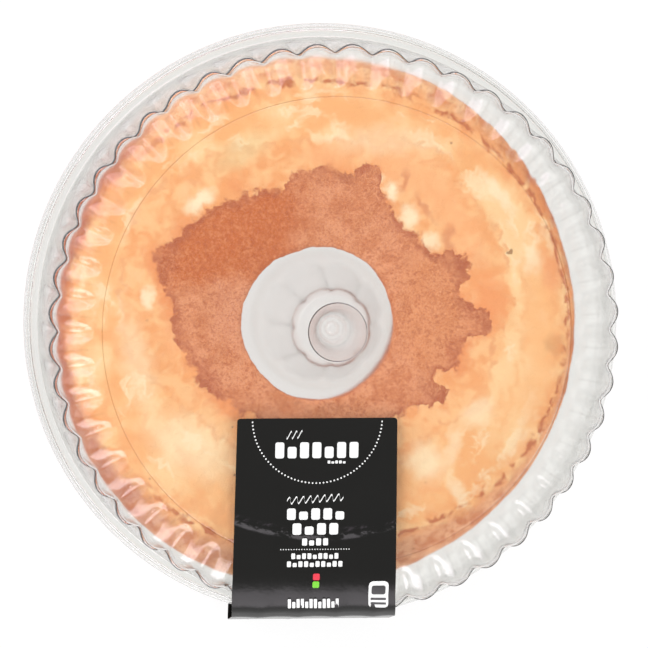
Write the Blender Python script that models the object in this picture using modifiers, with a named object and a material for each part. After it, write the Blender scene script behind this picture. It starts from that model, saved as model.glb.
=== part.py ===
"""Angel food cake in its sealed retail pack.

A ring-shaped sponge cake stands on a clear formed base with a fluted centre post.
A clear fluted dome snaps over the base, and one long label runs from the dome's flat
top over its shoulder, down the wall and round the rim.

Metres, +Z up. The origin is on the table, on the pack's axis. The label is at -Y.
"""

import math

import bmesh
import bpy
from mathutils import Vector, noise

# Sheet and clearances
SHEET = 0.0007
GAP = 0.0003
LABEL_SHEET = 0.0003

# Dome
RIM_RADIUS = 0.1240
RIM_TOP = 0.0102
DOME_SKIRT_BOTTOM = 0.0070
RIM_EDGE_ROUND = 0.0006
WALL_FOOT_RADIUS = 0.1183
WALL_TOP_RADIUS = 0.1155
WALL_TOP = 0.0710
PLATEAU_RADIUS = 0.0940
PLATEAU_TOP = 0.0840
FLUTES = 48
FLUTE_DEPTH = 0.0028
FLUTE_START_RADIUS = 0.0975
FLUTE_FULL_SHARE = 0.75
FLUTE_TOP_SHARE = 0.6
SCALLOP_POWER = 2.2
DIMPLE_RADIUS = 0.0114
DIMPLE_BOTTOM_RADIUS = 0.0056
DIMPLE_DEPTH = 0.0270
DIMPLE_ROUND = 0.0012

# Base
BASE_FLOOR_RADIUS = 0.1100
BASE_FLOOR_ROUND = 0.0018
BASE_WALL_RADIUS = 0.1160
BASE_FLANGE_TOP = RIM_TOP - SHEET - GAP
BASE_SKIRT_RADIUS = 0.1222
BASE_SKIRT_BOTTOM = 0.0055
POST_PETALS = 8
POST_TOP = 0.0553
POST_TOP_RADIUS = 0.0130
POST_SHOULDER_RADIUS = 0.0160
POST_SHOULDER_DROP = 0.0050
POST_FOOT_RADIUS = 0.0265
POST_PETAL_DEPTH = 0.0016

# Cake
CAKE_CENTRE = Vector((-0.0076, 0.0034, 0.0))
CAKE_BOTTOM = SHEET + GAP
CAKE_TOP = 0.0800
CAKE_SIDE_RADIUS = 0.1040
CAKE_BULGE_RADIUS = 0.1058
CAKE_BULGE_HEIGHT = 0.0200
CAKE_FOOT_RADIUS = 0.1022
CAKE_FOOT_ROUND = 0.0030
CAKE_HOLE_TOP_RADIUS = 0.0304
CAKE_HOLE_FOOT_RADIUS = 0.0385
CAKE_OUTER_ROUND = 0.0125
CAKE_TOP_SLOPE = 82.0
CAKE_INNER_ROUND = 0.0030
CAKE_OUTER_DROP = 0.0030
CAKE_INNER_DROP = 0.0015
CAKE_CROWN = (0.0552, 0.0760)
# The side's radius by direction, in degrees from +X, before the small unevenness
CAKE_OUTLINE = (
    (-180.0, 0.1025), (-154.0, 0.1050), (-145.0, 0.1060), (-130.0, 0.1076),
    (-115.0, 0.1080), (-90.0, 0.1070), (-70.0, 0.1054), (-60.0, 0.1042),
    (-30.0, 0.1044), (0.0, 0.1039), (30.0, 0.1050), (60.0, 0.1062),
    (90.0, 0.1053), (120.0, 0.1032), (150.0, 0.1016), (180.0, 0.1025),
)
CAKE_OUTLINE_START = 0.0450
CAKE_OUTLINE_REACH = 0.0400
CAKE_OUTLINE_FOOT_SHARE = 0.5
CAKE_TOP_UNEVEN_FROM = 0.0400
CAKE_UNEVEN = 0.0009
CAKE_LUMP = 0.0310

# Label
LABEL_TOP_Y = -0.0343
LABEL_TOP_CENTRE_X = -0.0082
LABEL_SHOULDER_CENTRE_X = -0.0096
LABEL_FOOT_CENTRE_X = -0.0052
LABEL_TOP_WIDTH = 0.0642
LABEL_FOOT_WIDTH = 0.0678
LABEL_CORNER_RADIUS = 0.0022
LABEL_CORNER_STEPS = 3
LABEL_TUCK = 0.0060
LABEL_WALL_END = (0.0008, 0.0080)
LABEL_RIM_RUN = (0.0008, 0.0030)

# Mesh fineness
FLUTE_STEPS = 4
SHOULDER_BENDS = 4
FLANGE_STEPS = 96
PLATEAU_STEPS = 48
DIMPLE_STEPS = 24
BASE_STEPS = POST_PETALS * 6
CAKE_STEPS = 48
LABEL_STEPS_ACROSS = 4
LABEL_FLAT_STEPS = 4
LABEL_BENDS = 7
LABEL_LEAN_BEND = 3

WELD = 1e-6
LOOP_REACH = 1e-5


def clear_scene():
    """Remove every object, so that the script can be run again."""
    for old in list(bpy.data.objects):
        bpy.data.objects.remove(old, do_unlink=True)


def make_material(name, colour, roughness, metallic=0.0, alpha=1.0):
    """Return a Principled material."""
    material = bpy.data.materials.new(name)
    material.use_nodes = True
    shader = material.node_tree.nodes["Principled BSDF"]
    shader.inputs["Base Color"].default_value = (*colour, 1.0)
    shader.inputs["Roughness"].default_value = roughness
    shader.inputs["Metallic"].default_value = metallic
    shader.inputs["Alpha"].default_value = alpha
    material.diffuse_color = (*colour, alpha)
    return material


def add_object(name, bm, collection, material):
    """Turn a bmesh into a named, smooth-shaded object in the collection."""
    mesh = bpy.data.meshes.new(name)
    bm.to_mesh(mesh)
    bm.free()
    mesh.materials.append(material)
    mesh.shade_smooth()
    mesh.set_sharp_from_angle(angle=math.radians(40.0))
    piece = bpy.data.objects.new(name, mesh)
    collection.objects.link(piece)
    return piece


def add_sheet_thickness(piece, thickness, offset):
    """Give an open surface the thickness of its sheet, inwards (-1) or outwards (1)."""
    solidify = piece.modifiers.new("sheet thickness", "SOLIDIFY")
    solidify.thickness = thickness
    solidify.offset = offset
    solidify.use_even_offset = True
    return solidify


def spin_profile(bm, profile, steps, closed=False):
    """Turn a profile of (radius, height) points round Z. Returns the new vertices."""
    verts = [bm.verts.new((radius, 0.0, height)) for radius, height in profile]
    pairs = list(zip(verts, verts[1:]))
    if closed:
        pairs.append((verts[-1], verts[0]))
    edges = [bm.edges.new(pair) for pair in pairs]
    before = set(bm.verts) - set(verts)
    bmesh.ops.spin(
        bm,
        geom=verts + edges,
        cent=(0.0, 0.0, 0.0),
        axis=(0.0, 0.0, 1.0),
        dvec=(0.0, 0.0, 0.0),
        angle=2.0 * math.pi,
        steps=steps,
        use_merge=True,
        use_duplicate=False,
    )
    turned = [vert for vert in bm.verts if vert not in before]
    bmesh.ops.remove_doubles(bm, verts=turned, dist=WELD)
    return [vert for vert in bm.verts if vert not in before]


def open_loop(bm, radius, height):
    """Return the open edge loop that lies at a radius and height."""
    loop = []
    for edge in bm.edges:
        if not edge.is_boundary:
            continue
        middle = (edge.verts[0].co + edge.verts[1].co) / 2.0
        if abs(middle.z - height) > LOOP_REACH:
            continue
        if all(abs(vert.co.xy.length - radius) < LOOP_REACH for vert in edge.verts):
            loop.append(edge)
    return loop


def bridge(bm, first, second):
    """Join two open loops, each given as (radius, height), with a band of faces."""
    edges = open_loop(bm, *first) + open_loop(bm, *second)
    bmesh.ops.bridge_loops(bm, edges=edges)


def face_normals_up(bm):
    """Point an open surface's normals the same way, with its top faces upwards."""
    bmesh.ops.recalc_face_normals(bm, faces=bm.faces)
    top = max(bm.faces, key=lambda face: (abs(face.normal.z), face.calc_area()))
    if top.normal.z < 0.0:
        bmesh.ops.reverse_faces(bm, faces=bm.faces)


def smooth_step(value):
    """Ease from 0 to 1."""
    value = min(max(value, 0.0), 1.0)
    return value * value * (3.0 - 2.0 * value)


def scallop(angle, count):
    """Depth share of a flute, 0 on its broad crest and 1 in the narrow valley."""
    phase = (angle * count / (2.0 * math.pi)) % 1.0
    return abs(2.0 * phase - 1.0) ** SCALLOP_POWER


def shoulder_point(turn):
    """Point (radius, height) on the dome's elliptical shoulder, 0 at the plateau, 90 on the wall."""
    radius = PLATEAU_RADIUS + (WALL_TOP_RADIUS - PLATEAU_RADIUS) * math.sin(turn)
    height = WALL_TOP + (PLATEAU_TOP - WALL_TOP) * math.cos(turn)
    return radius, height


def shoulder_turn(radius):
    """Turn along the shoulder at which it has a radius."""
    return math.asin((radius - PLATEAU_RADIUS) / (WALL_TOP_RADIUS - PLATEAU_RADIUS))


def flute_share(radius):
    """How much of the full flute depth the shoulder has at a radius."""
    reach = WALL_TOP_RADIUS - FLUTE_START_RADIUS
    return smooth_step((radius - FLUTE_START_RADIUS) / (FLUTE_FULL_SHARE * reach))


def sink_flutes(verts):
    """Press the flutes into the shoulder, square to it. They run out at the wall's round foot."""
    for vert in verts:
        radius = vert.co.xy.length
        if vert.co.z < WALL_TOP - WELD:
            continue
        angle = math.atan2(vert.co.y, vert.co.x)
        depth = FLUTE_DEPTH * flute_share(radius) * scallop(angle, FLUTES)
        lean = shoulder_turn(min(radius, WALL_TOP_RADIUS))
        outward = Vector((vert.co.x, vert.co.y, 0.0)).normalized()
        vert.co -= outward * depth * math.sin(lean)
        vert.co.z -= depth * math.cos(lean) * FLUTE_TOP_SHARE


def build_dome(collection, material):
    """Clear dome: rim, fluted wall and shoulder, flat top and a deep centre dimple."""
    bm = bmesh.new()
    flute_start = shoulder_turn(FLUTE_START_RADIUS)
    turn_left = math.pi / 2.0 - flute_start
    shares = [i / SHOULDER_BENDS for i in range(SHOULDER_BENDS + 1)]
    fluted = [shoulder_point(flute_start + turn_left * share) for share in shares]
    foot = (WALL_FOOT_RADIUS, RIM_TOP)
    fluted_verts = spin_profile(bm, fluted + [foot], FLUTES * FLUTE_STEPS)
    plateau = (PLATEAU_RADIUS, PLATEAU_TOP)
    lip = (DIMPLE_RADIUS + DIMPLE_ROUND, PLATEAU_TOP)
    dimple = [
        (0.0, PLATEAU_TOP - DIMPLE_DEPTH),
        (DIMPLE_BOTTOM_RADIUS - RIM_EDGE_ROUND, PLATEAU_TOP - DIMPLE_DEPTH),
        (DIMPLE_BOTTOM_RADIUS, PLATEAU_TOP - DIMPLE_DEPTH + DIMPLE_ROUND),
        (DIMPLE_RADIUS, PLATEAU_TOP - RIM_EDGE_ROUND),
        lip,
    ]
    spin_profile(bm, dimple, DIMPLE_STEPS)
    plateau_band = (PLATEAU_RADIUS - RIM_EDGE_ROUND, PLATEAU_TOP)
    spin_profile(bm, [plateau_band, plateau], PLATEAU_STEPS)
    flange_start = (WALL_FOOT_RADIUS + RIM_EDGE_ROUND, RIM_TOP)
    flange = [
        flange_start,
        (RIM_RADIUS - RIM_EDGE_ROUND, RIM_TOP),
        (RIM_RADIUS, RIM_TOP - RIM_EDGE_ROUND),
        (RIM_RADIUS, DOME_SKIRT_BOTTOM),
    ]
    spin_profile(bm, flange, FLANGE_STEPS)
    bridge(bm, lip, plateau_band)
    bridge(bm, plateau, fluted[0])
    bridge(bm, foot, flange_start)
    sink_flutes(fluted_verts)
    face_normals_up(bm)
    piece = add_object("dome", bm, collection, material)
    add_sheet_thickness(piece, SHEET, -1.0)
    return piece


def build_base(collection, material):
    """Clear base: fluted centre post, flat floor, low wall and a flange with a skirt."""
    bm = bmesh.new()
    under_post = POST_TOP - SHEET
    under_flange = BASE_FLANGE_TOP - SHEET
    profile = [
        (0.0, under_post),
        (POST_TOP_RADIUS, under_post),
        (POST_SHOULDER_RADIUS, under_post - POST_SHOULDER_DROP),
        ((POST_SHOULDER_RADIUS + POST_FOOT_RADIUS) / 2.0, under_post / 2.0),
        (POST_FOOT_RADIUS, 0.0),
        (BASE_FLOOR_RADIUS, 0.0),
        (BASE_FLOOR_RADIUS + BASE_FLOOR_ROUND, RIM_EDGE_ROUND),
        (BASE_WALL_RADIUS, under_flange),
        (BASE_SKIRT_RADIUS - RIM_EDGE_ROUND, under_flange),
        (BASE_SKIRT_RADIUS, BASE_SKIRT_BOTTOM),
    ]
    verts = spin_profile(bm, profile, BASE_STEPS)
    for vert in verts:
        radius = vert.co.xy.length
        on_flank = POST_TOP_RADIUS + WELD < radius < POST_FOOT_RADIUS - WELD
        if on_flank:
            angle = math.atan2(vert.co.y, vert.co.x)
            inward = POST_PETAL_DEPTH * scallop(angle, POST_PETALS)
            vert.co.xy *= (radius - inward) / radius
    face_normals_up(bm)
    piece = add_object("base_tray", bm, collection, material)
    add_sheet_thickness(piece, SHEET, 1.0)
    return piece


def corner_arc(centre, radius, start, end, steps):
    """Points (radius, height) on an arc from one angle to another, in degrees."""
    points = []
    for i in range(steps + 1):
        angle = math.radians(start + (end - start) * i / steps)
        points.append((centre[0] + radius * math.cos(angle), centre[1] + radius * math.sin(angle)))
    return points


def cake_profile():
    """Cross-section of the ring, as one closed loop of (radius, height) points."""
    inner_height = CAKE_TOP - CAKE_INNER_DROP - CAKE_INNER_ROUND
    inner = (CAKE_HOLE_TOP_RADIUS + CAKE_INNER_ROUND, inner_height)
    outer_height = CAKE_TOP - CAKE_OUTER_DROP - CAKE_OUTER_ROUND
    outer = (CAKE_SIDE_RADIUS - CAKE_OUTER_ROUND, outer_height)
    points = [(CAKE_HOLE_FOOT_RADIUS, CAKE_BOTTOM)]
    points.append(((CAKE_HOLE_FOOT_RADIUS + CAKE_HOLE_TOP_RADIUS) / 2.0, CAKE_TOP / 2.0))
    points += corner_arc(inner, CAKE_INNER_ROUND, 180.0, 90.0, 2)
    points += [(radius, CAKE_TOP) for radius in CAKE_CROWN]
    points += corner_arc(outer, CAKE_OUTER_ROUND, CAKE_TOP_SLOPE, 0.0, 4)
    middle_radius = (CAKE_SIDE_RADIUS + CAKE_BULGE_RADIUS) / 2.0
    points.append((middle_radius, (outer_height + CAKE_BULGE_HEIGHT) / 2.0))
    points.append((CAKE_BULGE_RADIUS, CAKE_BULGE_HEIGHT))
    points.append((CAKE_FOOT_RADIUS, CAKE_BOTTOM + CAKE_FOOT_ROUND))
    points.append((CAKE_FOOT_RADIUS - CAKE_FOOT_ROUND, CAKE_BOTTOM))
    return points


def cake_growth(place):
    """How far the outline moves the ring outwards at a place, from the ring's axis."""
    angle = math.degrees(math.atan2(place.y, place.x))
    for (low, low_radius), (high, high_radius) in zip(CAKE_OUTLINE, CAKE_OUTLINE[1:]):
        if low <= angle <= high:
            share = (angle - low) / (high - low)
            radius = low_radius + (high_radius - low_radius) * share
            break
    reach = smooth_step((place.xy.length - CAKE_OUTLINE_START) / CAKE_OUTLINE_REACH)
    if place.z < CAKE_BULGE_HEIGHT:
        reach *= CAKE_OUTLINE_FOOT_SHARE
    return (radius - CAKE_SIDE_RADIUS) * reach


def build_cake(collection, material):
    """Ring cake: slightly domed and uneven on top, hole wider at the foot, off the pack's axis."""
    bm = bmesh.new()
    verts = spin_profile(bm, cake_profile(), CAKE_STEPS, closed=True)
    for vert in verts:
        wobble = CAKE_UNEVEN * noise.noise(vert.co / CAKE_LUMP)
        outward = Vector((vert.co.x, vert.co.y, 0.0)).normalized()
        growth = cake_growth(vert.co)
        raised = vert.co.z > CAKE_BOTTOM + WELD
        lifted = vert.co.z > CAKE_TOP_UNEVEN_FROM
        vert.co += outward * (growth + (wobble if raised else 0.0))
        vert.co.z += wobble if lifted else 0.0
        vert.co += CAKE_CENTRE
    bmesh.ops.recalc_face_normals(bm, faces=bm.faces)
    return add_object("cake", bm, collection, material)


def label_path():
    """The label's underside in the YZ plane, from its top edge to the tuck under the rim."""
    off = GAP
    points = []
    for i in range(LABEL_FLAT_STEPS):
        y = LABEL_TOP_Y + (-PLATEAU_RADIUS - LABEL_TOP_Y) * i / LABEL_FLAT_STEPS
        points.append((y, PLATEAU_TOP + off))
    for i in range(LABEL_BENDS + 1):
        turn = math.pi / 2.0 * i / LABEL_BENDS
        radius, height = shoulder_point(turn)
        points.append((-radius - off * math.sin(turn), height + off * math.cos(turn)))
    rim = -RIM_RADIUS - off
    wall_out, wall_up = LABEL_WALL_END
    wall_end = -WALL_FOOT_RADIUS - wall_out
    points.append((wall_end, RIM_TOP + wall_up))
    run_out, run_up = LABEL_RIM_RUN
    points.append(((wall_end + rim) / 2.0 - run_out, RIM_TOP + run_up))
    points.append((rim, RIM_TOP - RIM_EDGE_ROUND))
    tuck = BASE_SKIRT_BOTTOM - 2.0 * off - LABEL_SHEET
    points.append((rim, tuck + RIM_EDGE_ROUND))
    points.append((rim + RIM_EDGE_ROUND, tuck))
    points.append((rim + LABEL_TUCK, tuck))
    return points


def path_shares(points):
    """Share of the path's length at each of its points."""
    lengths = [0.0]
    for (y0, z0), (y1, z1) in zip(points, points[1:]):
        lengths.append(lengths[-1] + math.hypot(y1 - y0, z1 - z0))
    return [length / lengths[-1] for length in lengths]


def label_centre(share, shoulder_share):
    """Sideways place of the label's middle: it leans one way on top and back on the wall."""
    if share <= shoulder_share:
        lean = share / shoulder_share
        return LABEL_TOP_CENTRE_X + (LABEL_SHOULDER_CENTRE_X - LABEL_TOP_CENTRE_X) * lean
    lean = (share - shoulder_share) / (1.0 - shoulder_share)
    return LABEL_SHOULDER_CENTRE_X + (LABEL_FOOT_CENTRE_X - LABEL_SHOULDER_CENTRE_X) * lean


def build_label(collection, material):
    """Label: one strip, flat from side to side, that bends over the shoulder and tucks under."""
    path = label_path()
    shares = path_shares(path)
    shoulder_share = shares[LABEL_FLAT_STEPS + LABEL_LEAN_BEND]
    bm = bmesh.new()
    rows = len(path) - 1
    grid = bmesh.ops.create_grid(bm, x_segments=LABEL_STEPS_ACROSS, y_segments=rows, size=0.5)
    for vert in grid["verts"]:
        across = vert.co.x
        row = round((0.5 - vert.co.y) * rows)
        width = LABEL_TOP_WIDTH + (LABEL_FOOT_WIDTH - LABEL_TOP_WIDTH) * shares[row]
        y, z = path[row]
        vert.co = (label_centre(shares[row], shoulder_share) + across * width, y, z)
    corners = [vert for vert in bm.verts if len(vert.link_edges) == 2]
    top_corners = [vert for vert in corners if vert.co.y > -PLATEAU_RADIUS]
    bmesh.ops.bevel(
        bm,
        geom=top_corners,
        offset=LABEL_CORNER_RADIUS,
        segments=LABEL_CORNER_STEPS,
        profile=0.5,
        affect="VERTICES",
    )
    face_normals_up(bm)
    piece = add_object("label", bm, collection, material)
    add_sheet_thickness(piece, LABEL_SHEET, 1.0)
    return piece


def build():
    """Build the whole pack."""
    clear_scene()
    collection = bpy.data.collections.new("angel food cake pack")
    bpy.context.scene.collection.children.link(collection)
    clear_plastic = make_material("clear plastic", (0.93, 0.93, 0.92), 0.08, alpha=0.25)
    base_plastic = make_material("clear base plastic", (0.90, 0.90, 0.89), 0.12, alpha=0.40)
    sponge = make_material("sponge cake", (0.92, 0.56, 0.27), 0.75)
    print_film = make_material("black label film", (0.016, 0.015, 0.014), 0.30)
    build_base(collection, base_plastic)
    build_cake(collection, sponge)
    build_dome(collection, clear_plastic)
    build_label(collection, print_film)


build()
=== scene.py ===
"""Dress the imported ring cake: clear fluted pack, browned sponge ring and black film label.

Lengths are metres unless a name ends in _mm, and +Z is up. The pack stands on the floor with
its axis on Z. The label runs down the side at -Y.
"""

import logging
import math
from collections.abc import Callable, Iterable
from dataclasses import dataclass, field
from enum import Enum

import bmesh
import bpy
from mathutils import Matrix, Vector


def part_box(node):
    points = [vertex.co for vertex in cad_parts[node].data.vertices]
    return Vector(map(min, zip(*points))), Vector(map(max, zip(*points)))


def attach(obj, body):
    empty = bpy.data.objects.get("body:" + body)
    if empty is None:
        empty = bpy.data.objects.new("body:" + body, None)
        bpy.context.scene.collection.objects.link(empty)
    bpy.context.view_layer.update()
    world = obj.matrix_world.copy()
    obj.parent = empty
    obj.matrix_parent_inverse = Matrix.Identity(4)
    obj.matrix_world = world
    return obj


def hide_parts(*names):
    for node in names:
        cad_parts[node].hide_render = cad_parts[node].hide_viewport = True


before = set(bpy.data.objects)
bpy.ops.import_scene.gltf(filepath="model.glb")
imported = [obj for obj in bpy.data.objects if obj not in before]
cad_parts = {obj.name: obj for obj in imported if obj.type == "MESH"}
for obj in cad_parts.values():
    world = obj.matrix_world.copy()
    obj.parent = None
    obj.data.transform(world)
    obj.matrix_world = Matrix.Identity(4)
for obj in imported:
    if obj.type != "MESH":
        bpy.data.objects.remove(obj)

LOG = logging.getLogger("ring_cake_pack")
BODY = "root"
FULL_TURN = 2.0 * math.pi
MILLIMETRE = 0.001
WELD = 0.00001
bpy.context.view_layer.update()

CAKE_CENTRE = Vector((-0.0076, 0.0034, 0.0))
CAKE_TOP = 0.0800
CAKE_SIDE_RADIUS = 0.1040
TRAY_INSET = 0.0002
TRAY_SKIRT_BOTTOM = 0.0057

Point = tuple[float, float]
Colour = tuple[float, float, float]
Socket = bpy.types.NodeSocket
Feed = Socket | float | Colour


# ---------------------------------------------------------------- small maths


def smooth_step(value: float) -> float:
    """Ease a share from 0 to 1."""
    value = min(max(value, 0.0), 1.0)
    return value * value * (3.0 - 2.0 * value)


def linear(level: float) -> float:
    """Turn one display level, 0 to 255, into light."""
    share = level / 255.0
    return share / 12.92 if share <= 0.04045 else ((share + 0.055) / 1.055) ** 2.4


def tone(red: float, green: float, blue: float, share: float = 1.0) -> Colour:
    """Mix a surface colour from display levels.

    Args:
        red: Red level, 0 to 255.
        green: Green level, 0 to 255.
        blue: Blue level, 0 to 255.
        share: Part of that light which the surface gives back under the studio lamps.

    Returns:
        The colour in linear light.
    """
    return (linear(red) * share, linear(green) * share, linear(blue) * share)


def off_axis(place: Vector) -> float:
    """Return a place's distance from an upright axis through the origin."""
    return math.hypot(place.x, place.y)


# ---------------------------------------------------------------- modelling bench


def clear_selection() -> None:
    """Leave nothing selected, so that operators act on the new piece alone."""
    if bpy.context.object is not None and bpy.context.object.mode != "OBJECT":
        bpy.ops.object.mode_set(mode="OBJECT")
    bpy.ops.object.select_all(action="DESELECT")


def take(piece: bpy.types.Object) -> None:
    """Select one piece alone and make it active."""
    clear_selection()
    piece.select_set(True)
    bpy.context.view_layer.objects.active = piece


def settle(piece: bpy.types.Object, name: str) -> None:
    """Name a new primitive and move its place into its mesh."""
    piece.name = name
    piece.data.name = name
    bpy.ops.object.transform_apply(location=True, rotation=True, scale=True)


def pick(piece: bpy.types.Object, test: Callable[[Vector], bool]) -> None:
    """Select, in edit mode, the vertices whose place passes a test."""
    bpy.ops.mesh.select_mode(type="VERT")
    bpy.ops.mesh.select_all(action="DESELECT")
    form = bmesh.from_edit_mesh(piece.data)
    for vertex in form.verts:
        vertex.select_set(test(vertex.co))
    form.select_flush(True)
    bmesh.update_edit_mesh(piece.data)


def apply_modifier(piece: bpy.types.Object, kind: str, **settings: object) -> None:
    """Add a modifier with these settings and apply it."""
    take(piece)
    modifier = piece.modifiers.new(kind.lower(), kind)
    for name, value in settings.items():
        setattr(modifier, name, value)
    bpy.ops.object.modifier_apply(modifier=modifier.name)


def weigh(piece: bpy.types.Object, name: str, share: Callable[[Vector], float]) -> str:
    """Give a piece a vertex group weighted by place.

    Args:
        piece: The piece.
        name: The group's name.
        share: Weight, 0 to 1, at a place.

    Returns:
        The group's name, for a modifier.
    """
    group = piece.vertex_groups.new(name=name)
    for vertex in piece.data.vertices:
        weight = share(vertex.co)
        if weight > 0.0:
            group.add([vertex.index], min(weight, 1.0), "REPLACE")
    return name


def press(
    piece: bpy.types.Object,
    name: str,
    share: Callable[[Vector], float],
    distance: float,
    direction: str = "NORMAL",
) -> None:
    """Push a surface along its normal, or along an axis, where its weight by place says."""
    group = weigh(piece, name, share)
    apply_modifier(
        piece,
        "DISPLACE",
        vertex_group=group,
        direction=direction,
        mid_level=0.0,
        strength=distance,
    )
    piece.vertex_groups.remove(piece.vertex_groups[group])


def swell(
    piece: bpy.types.Object, name: str, shift: Callable[[Vector], Point], limit: float
) -> None:
    """Move a surface sideways by a shift worked out from place.

    Args:
        piece: The piece.
        name: The weights' name.
        shift: Shift along X and Y at a place.
        limit: The longest shift.
    """
    for axis, direction in enumerate("XY"):
        for sign in (1.0, -1.0):
            press(
                piece,
                name,
                lambda place: max(sign * shift(place)[axis], 0.0) / limit,
                sign * limit,
                direction=direction,
            )


def roughen(
    piece: bpy.types.Object,
    grain: float,
    height: float,
    share: Callable[[Vector], float],
    depth: int = 2,
) -> None:
    """Give a surface uneven, cloudy relief along its normal.

    Args:
        piece: The piece.
        grain: Size of the lumps.
        height: Height from the lowest to the highest of them.
        share: Weight by place.
        depth: How many finer layers the lumps carry.
    """
    texture = bpy.data.textures.new(f"{piece.name}_clouds", "CLOUDS")
    texture.noise_scale = grain
    texture.noise_depth = depth
    group = weigh(piece, "relief", share)
    apply_modifier(
        piece,
        "DISPLACE",
        texture=texture,
        texture_coords="LOCAL",
        vertex_group=group,
        direction="NORMAL",
        mid_level=0.5,
        strength=height,
    )
    piece.vertex_groups.remove(piece.vertex_groups[group])


def face_outwards(piece: bpy.types.Object, top_up: bool = False) -> None:
    """Merge doubles and point all faces outwards, or an open sheet's top faces upwards."""
    take(piece)
    bpy.ops.object.mode_set(mode="EDIT")
    bpy.ops.mesh.select_all(action="SELECT")
    bpy.ops.mesh.remove_doubles(threshold=WELD)
    bpy.ops.mesh.normals_make_consistent(inside=False)
    if top_up:
        form = bmesh.from_edit_mesh(piece.data)
        level = max(form.faces, key=lambda face: abs(face.normal.z) * face.calc_area())
        if level.normal.z < 0.0:
            bpy.ops.mesh.flip_normals()
    bpy.ops.object.mode_set(mode="OBJECT")


def join(pieces: list[bpy.types.Object], name: str) -> bpy.types.Object:
    """Join pieces into the first of them and name it."""
    clear_selection()
    for piece in pieces:
        piece.select_set(True)
    bpy.context.view_layer.objects.active = pieces[0]
    bpy.ops.object.join()
    pieces[0].name = name
    pieces[0].data.name = name
    return pieces[0]


def smooth(piece: bpy.types.Object, angle: float = 40.0) -> None:
    """Shade a piece smooth but for edges sharper than an angle, in degrees."""
    take(piece)
    bpy.ops.object.shade_smooth_by_angle(angle=math.radians(angle))


def thicken(piece: bpy.types.Object, sheet: float) -> None:
    """Give an open surface its sheet's thickness, inwards, and shade it smooth."""
    apply_modifier(piece, "SOLIDIFY", thickness=sheet, offset=-1.0, use_even_offset=True)
    smooth(piece, 50.0)


def mount(piece: bpy.types.Object, slot: str, material: bpy.types.Material) -> None:
    """Give a piece its finish, ride it on the pack and report it."""
    piece.data.materials.clear()
    piece.data.materials.append(material)
    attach(piece, BODY)
    LOG.info("%s: %d faces, slot %s", piece.name, len(piece.data.polygons), slot)


class TurnedForm:
    """A form drawn up ring by ring round an upright axis, as on a lathe."""

    def __init__(
        self, name: str, start: Point, steps: int, centre: Point = (0.0, 0.0)
    ) -> None:
        """Add the first ring.

        Args:
            name: The piece's name.
            start: Radius and height of the first ring.
            steps: Vertices round the ring.
            centre: The axis's place.
        """
        clear_selection()
        self.centre = centre
        self.radius, self.height = start
        bpy.ops.mesh.primitive_circle_add(
            vertices=steps, radius=self.radius, location=(*centre, self.height)
        )
        self.piece = bpy.context.object
        settle(self.piece, name)
        bpy.ops.object.mode_set(mode="EDIT")
        bpy.ops.mesh.select_all(action="SELECT")

    def draw_to(self, radius: float, height: float) -> None:
        """Extrude the open ring to a radius and height."""
        lift = (0.0, 0.0, height - self.height)
        bpy.ops.mesh.extrude_region_move(TRANSFORM_OT_translate={"value": lift})
        ratio = radius / self.radius
        bpy.ops.transform.resize(
            value=(ratio, ratio, 1.0), center_override=(*self.centre, height)
        )
        self.radius, self.height = radius, height

    def follow(self, profile: Iterable[Point]) -> None:
        """Draw the ring through every point of a profile."""
        for radius, height in profile:
            self.draw_to(radius, height)

    def close_pole(self) -> None:
        """Close the open ring on the axis with a fan."""
        bpy.ops.mesh.extrude_region_move()
        bpy.ops.mesh.merge(type="CENTER")

    def close_round(self) -> None:
        """Join the last ring to the first."""
        bpy.ops.mesh.select_mode(type="VERT")
        bpy.ops.mesh.select_all(action="DESELECT")
        bpy.ops.mesh.select_non_manifold(
            extend=False,
            use_wire=False,
            use_boundary=True,
            use_multi_face=False,
            use_non_contiguous=False,
            use_verts=False,
        )
        bpy.ops.mesh.bridge_edge_loops()

    def finish(self) -> bpy.types.Object:
        """Leave edit mode and return the piece."""
        bpy.ops.object.mode_set(mode="OBJECT")
        return self.piece


def arc(centre: Point, radius: float, start: float, end: float, steps: int) -> list[Point]:
    """Return points on an arc between two angles in degrees, both ends included."""
    points = []
    for i in range(steps + 1):
        angle = math.radians(start + (end - start) * i / steps)
        points.append(
            (centre[0] + radius * math.cos(angle), centre[1] + radius * math.sin(angle))
        )
    return points


def scallop(place: Vector, count: int, power: float, soft: float = 0.0) -> float:
    """Depth share of a flute at a place: 0 on its broad crest and 1 in the narrow valley."""
    phase = (math.atan2(place.y, place.x) * count / FULL_TURN) % 1.0
    aside = 1.0 - abs(2.0 * phase - 1.0)
    aside = (math.hypot(aside, soft) - soft) / (math.hypot(1.0, soft) - soft)
    return (1.0 - aside) ** power


# ---------------------------------------------------------------- finishes


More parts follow.
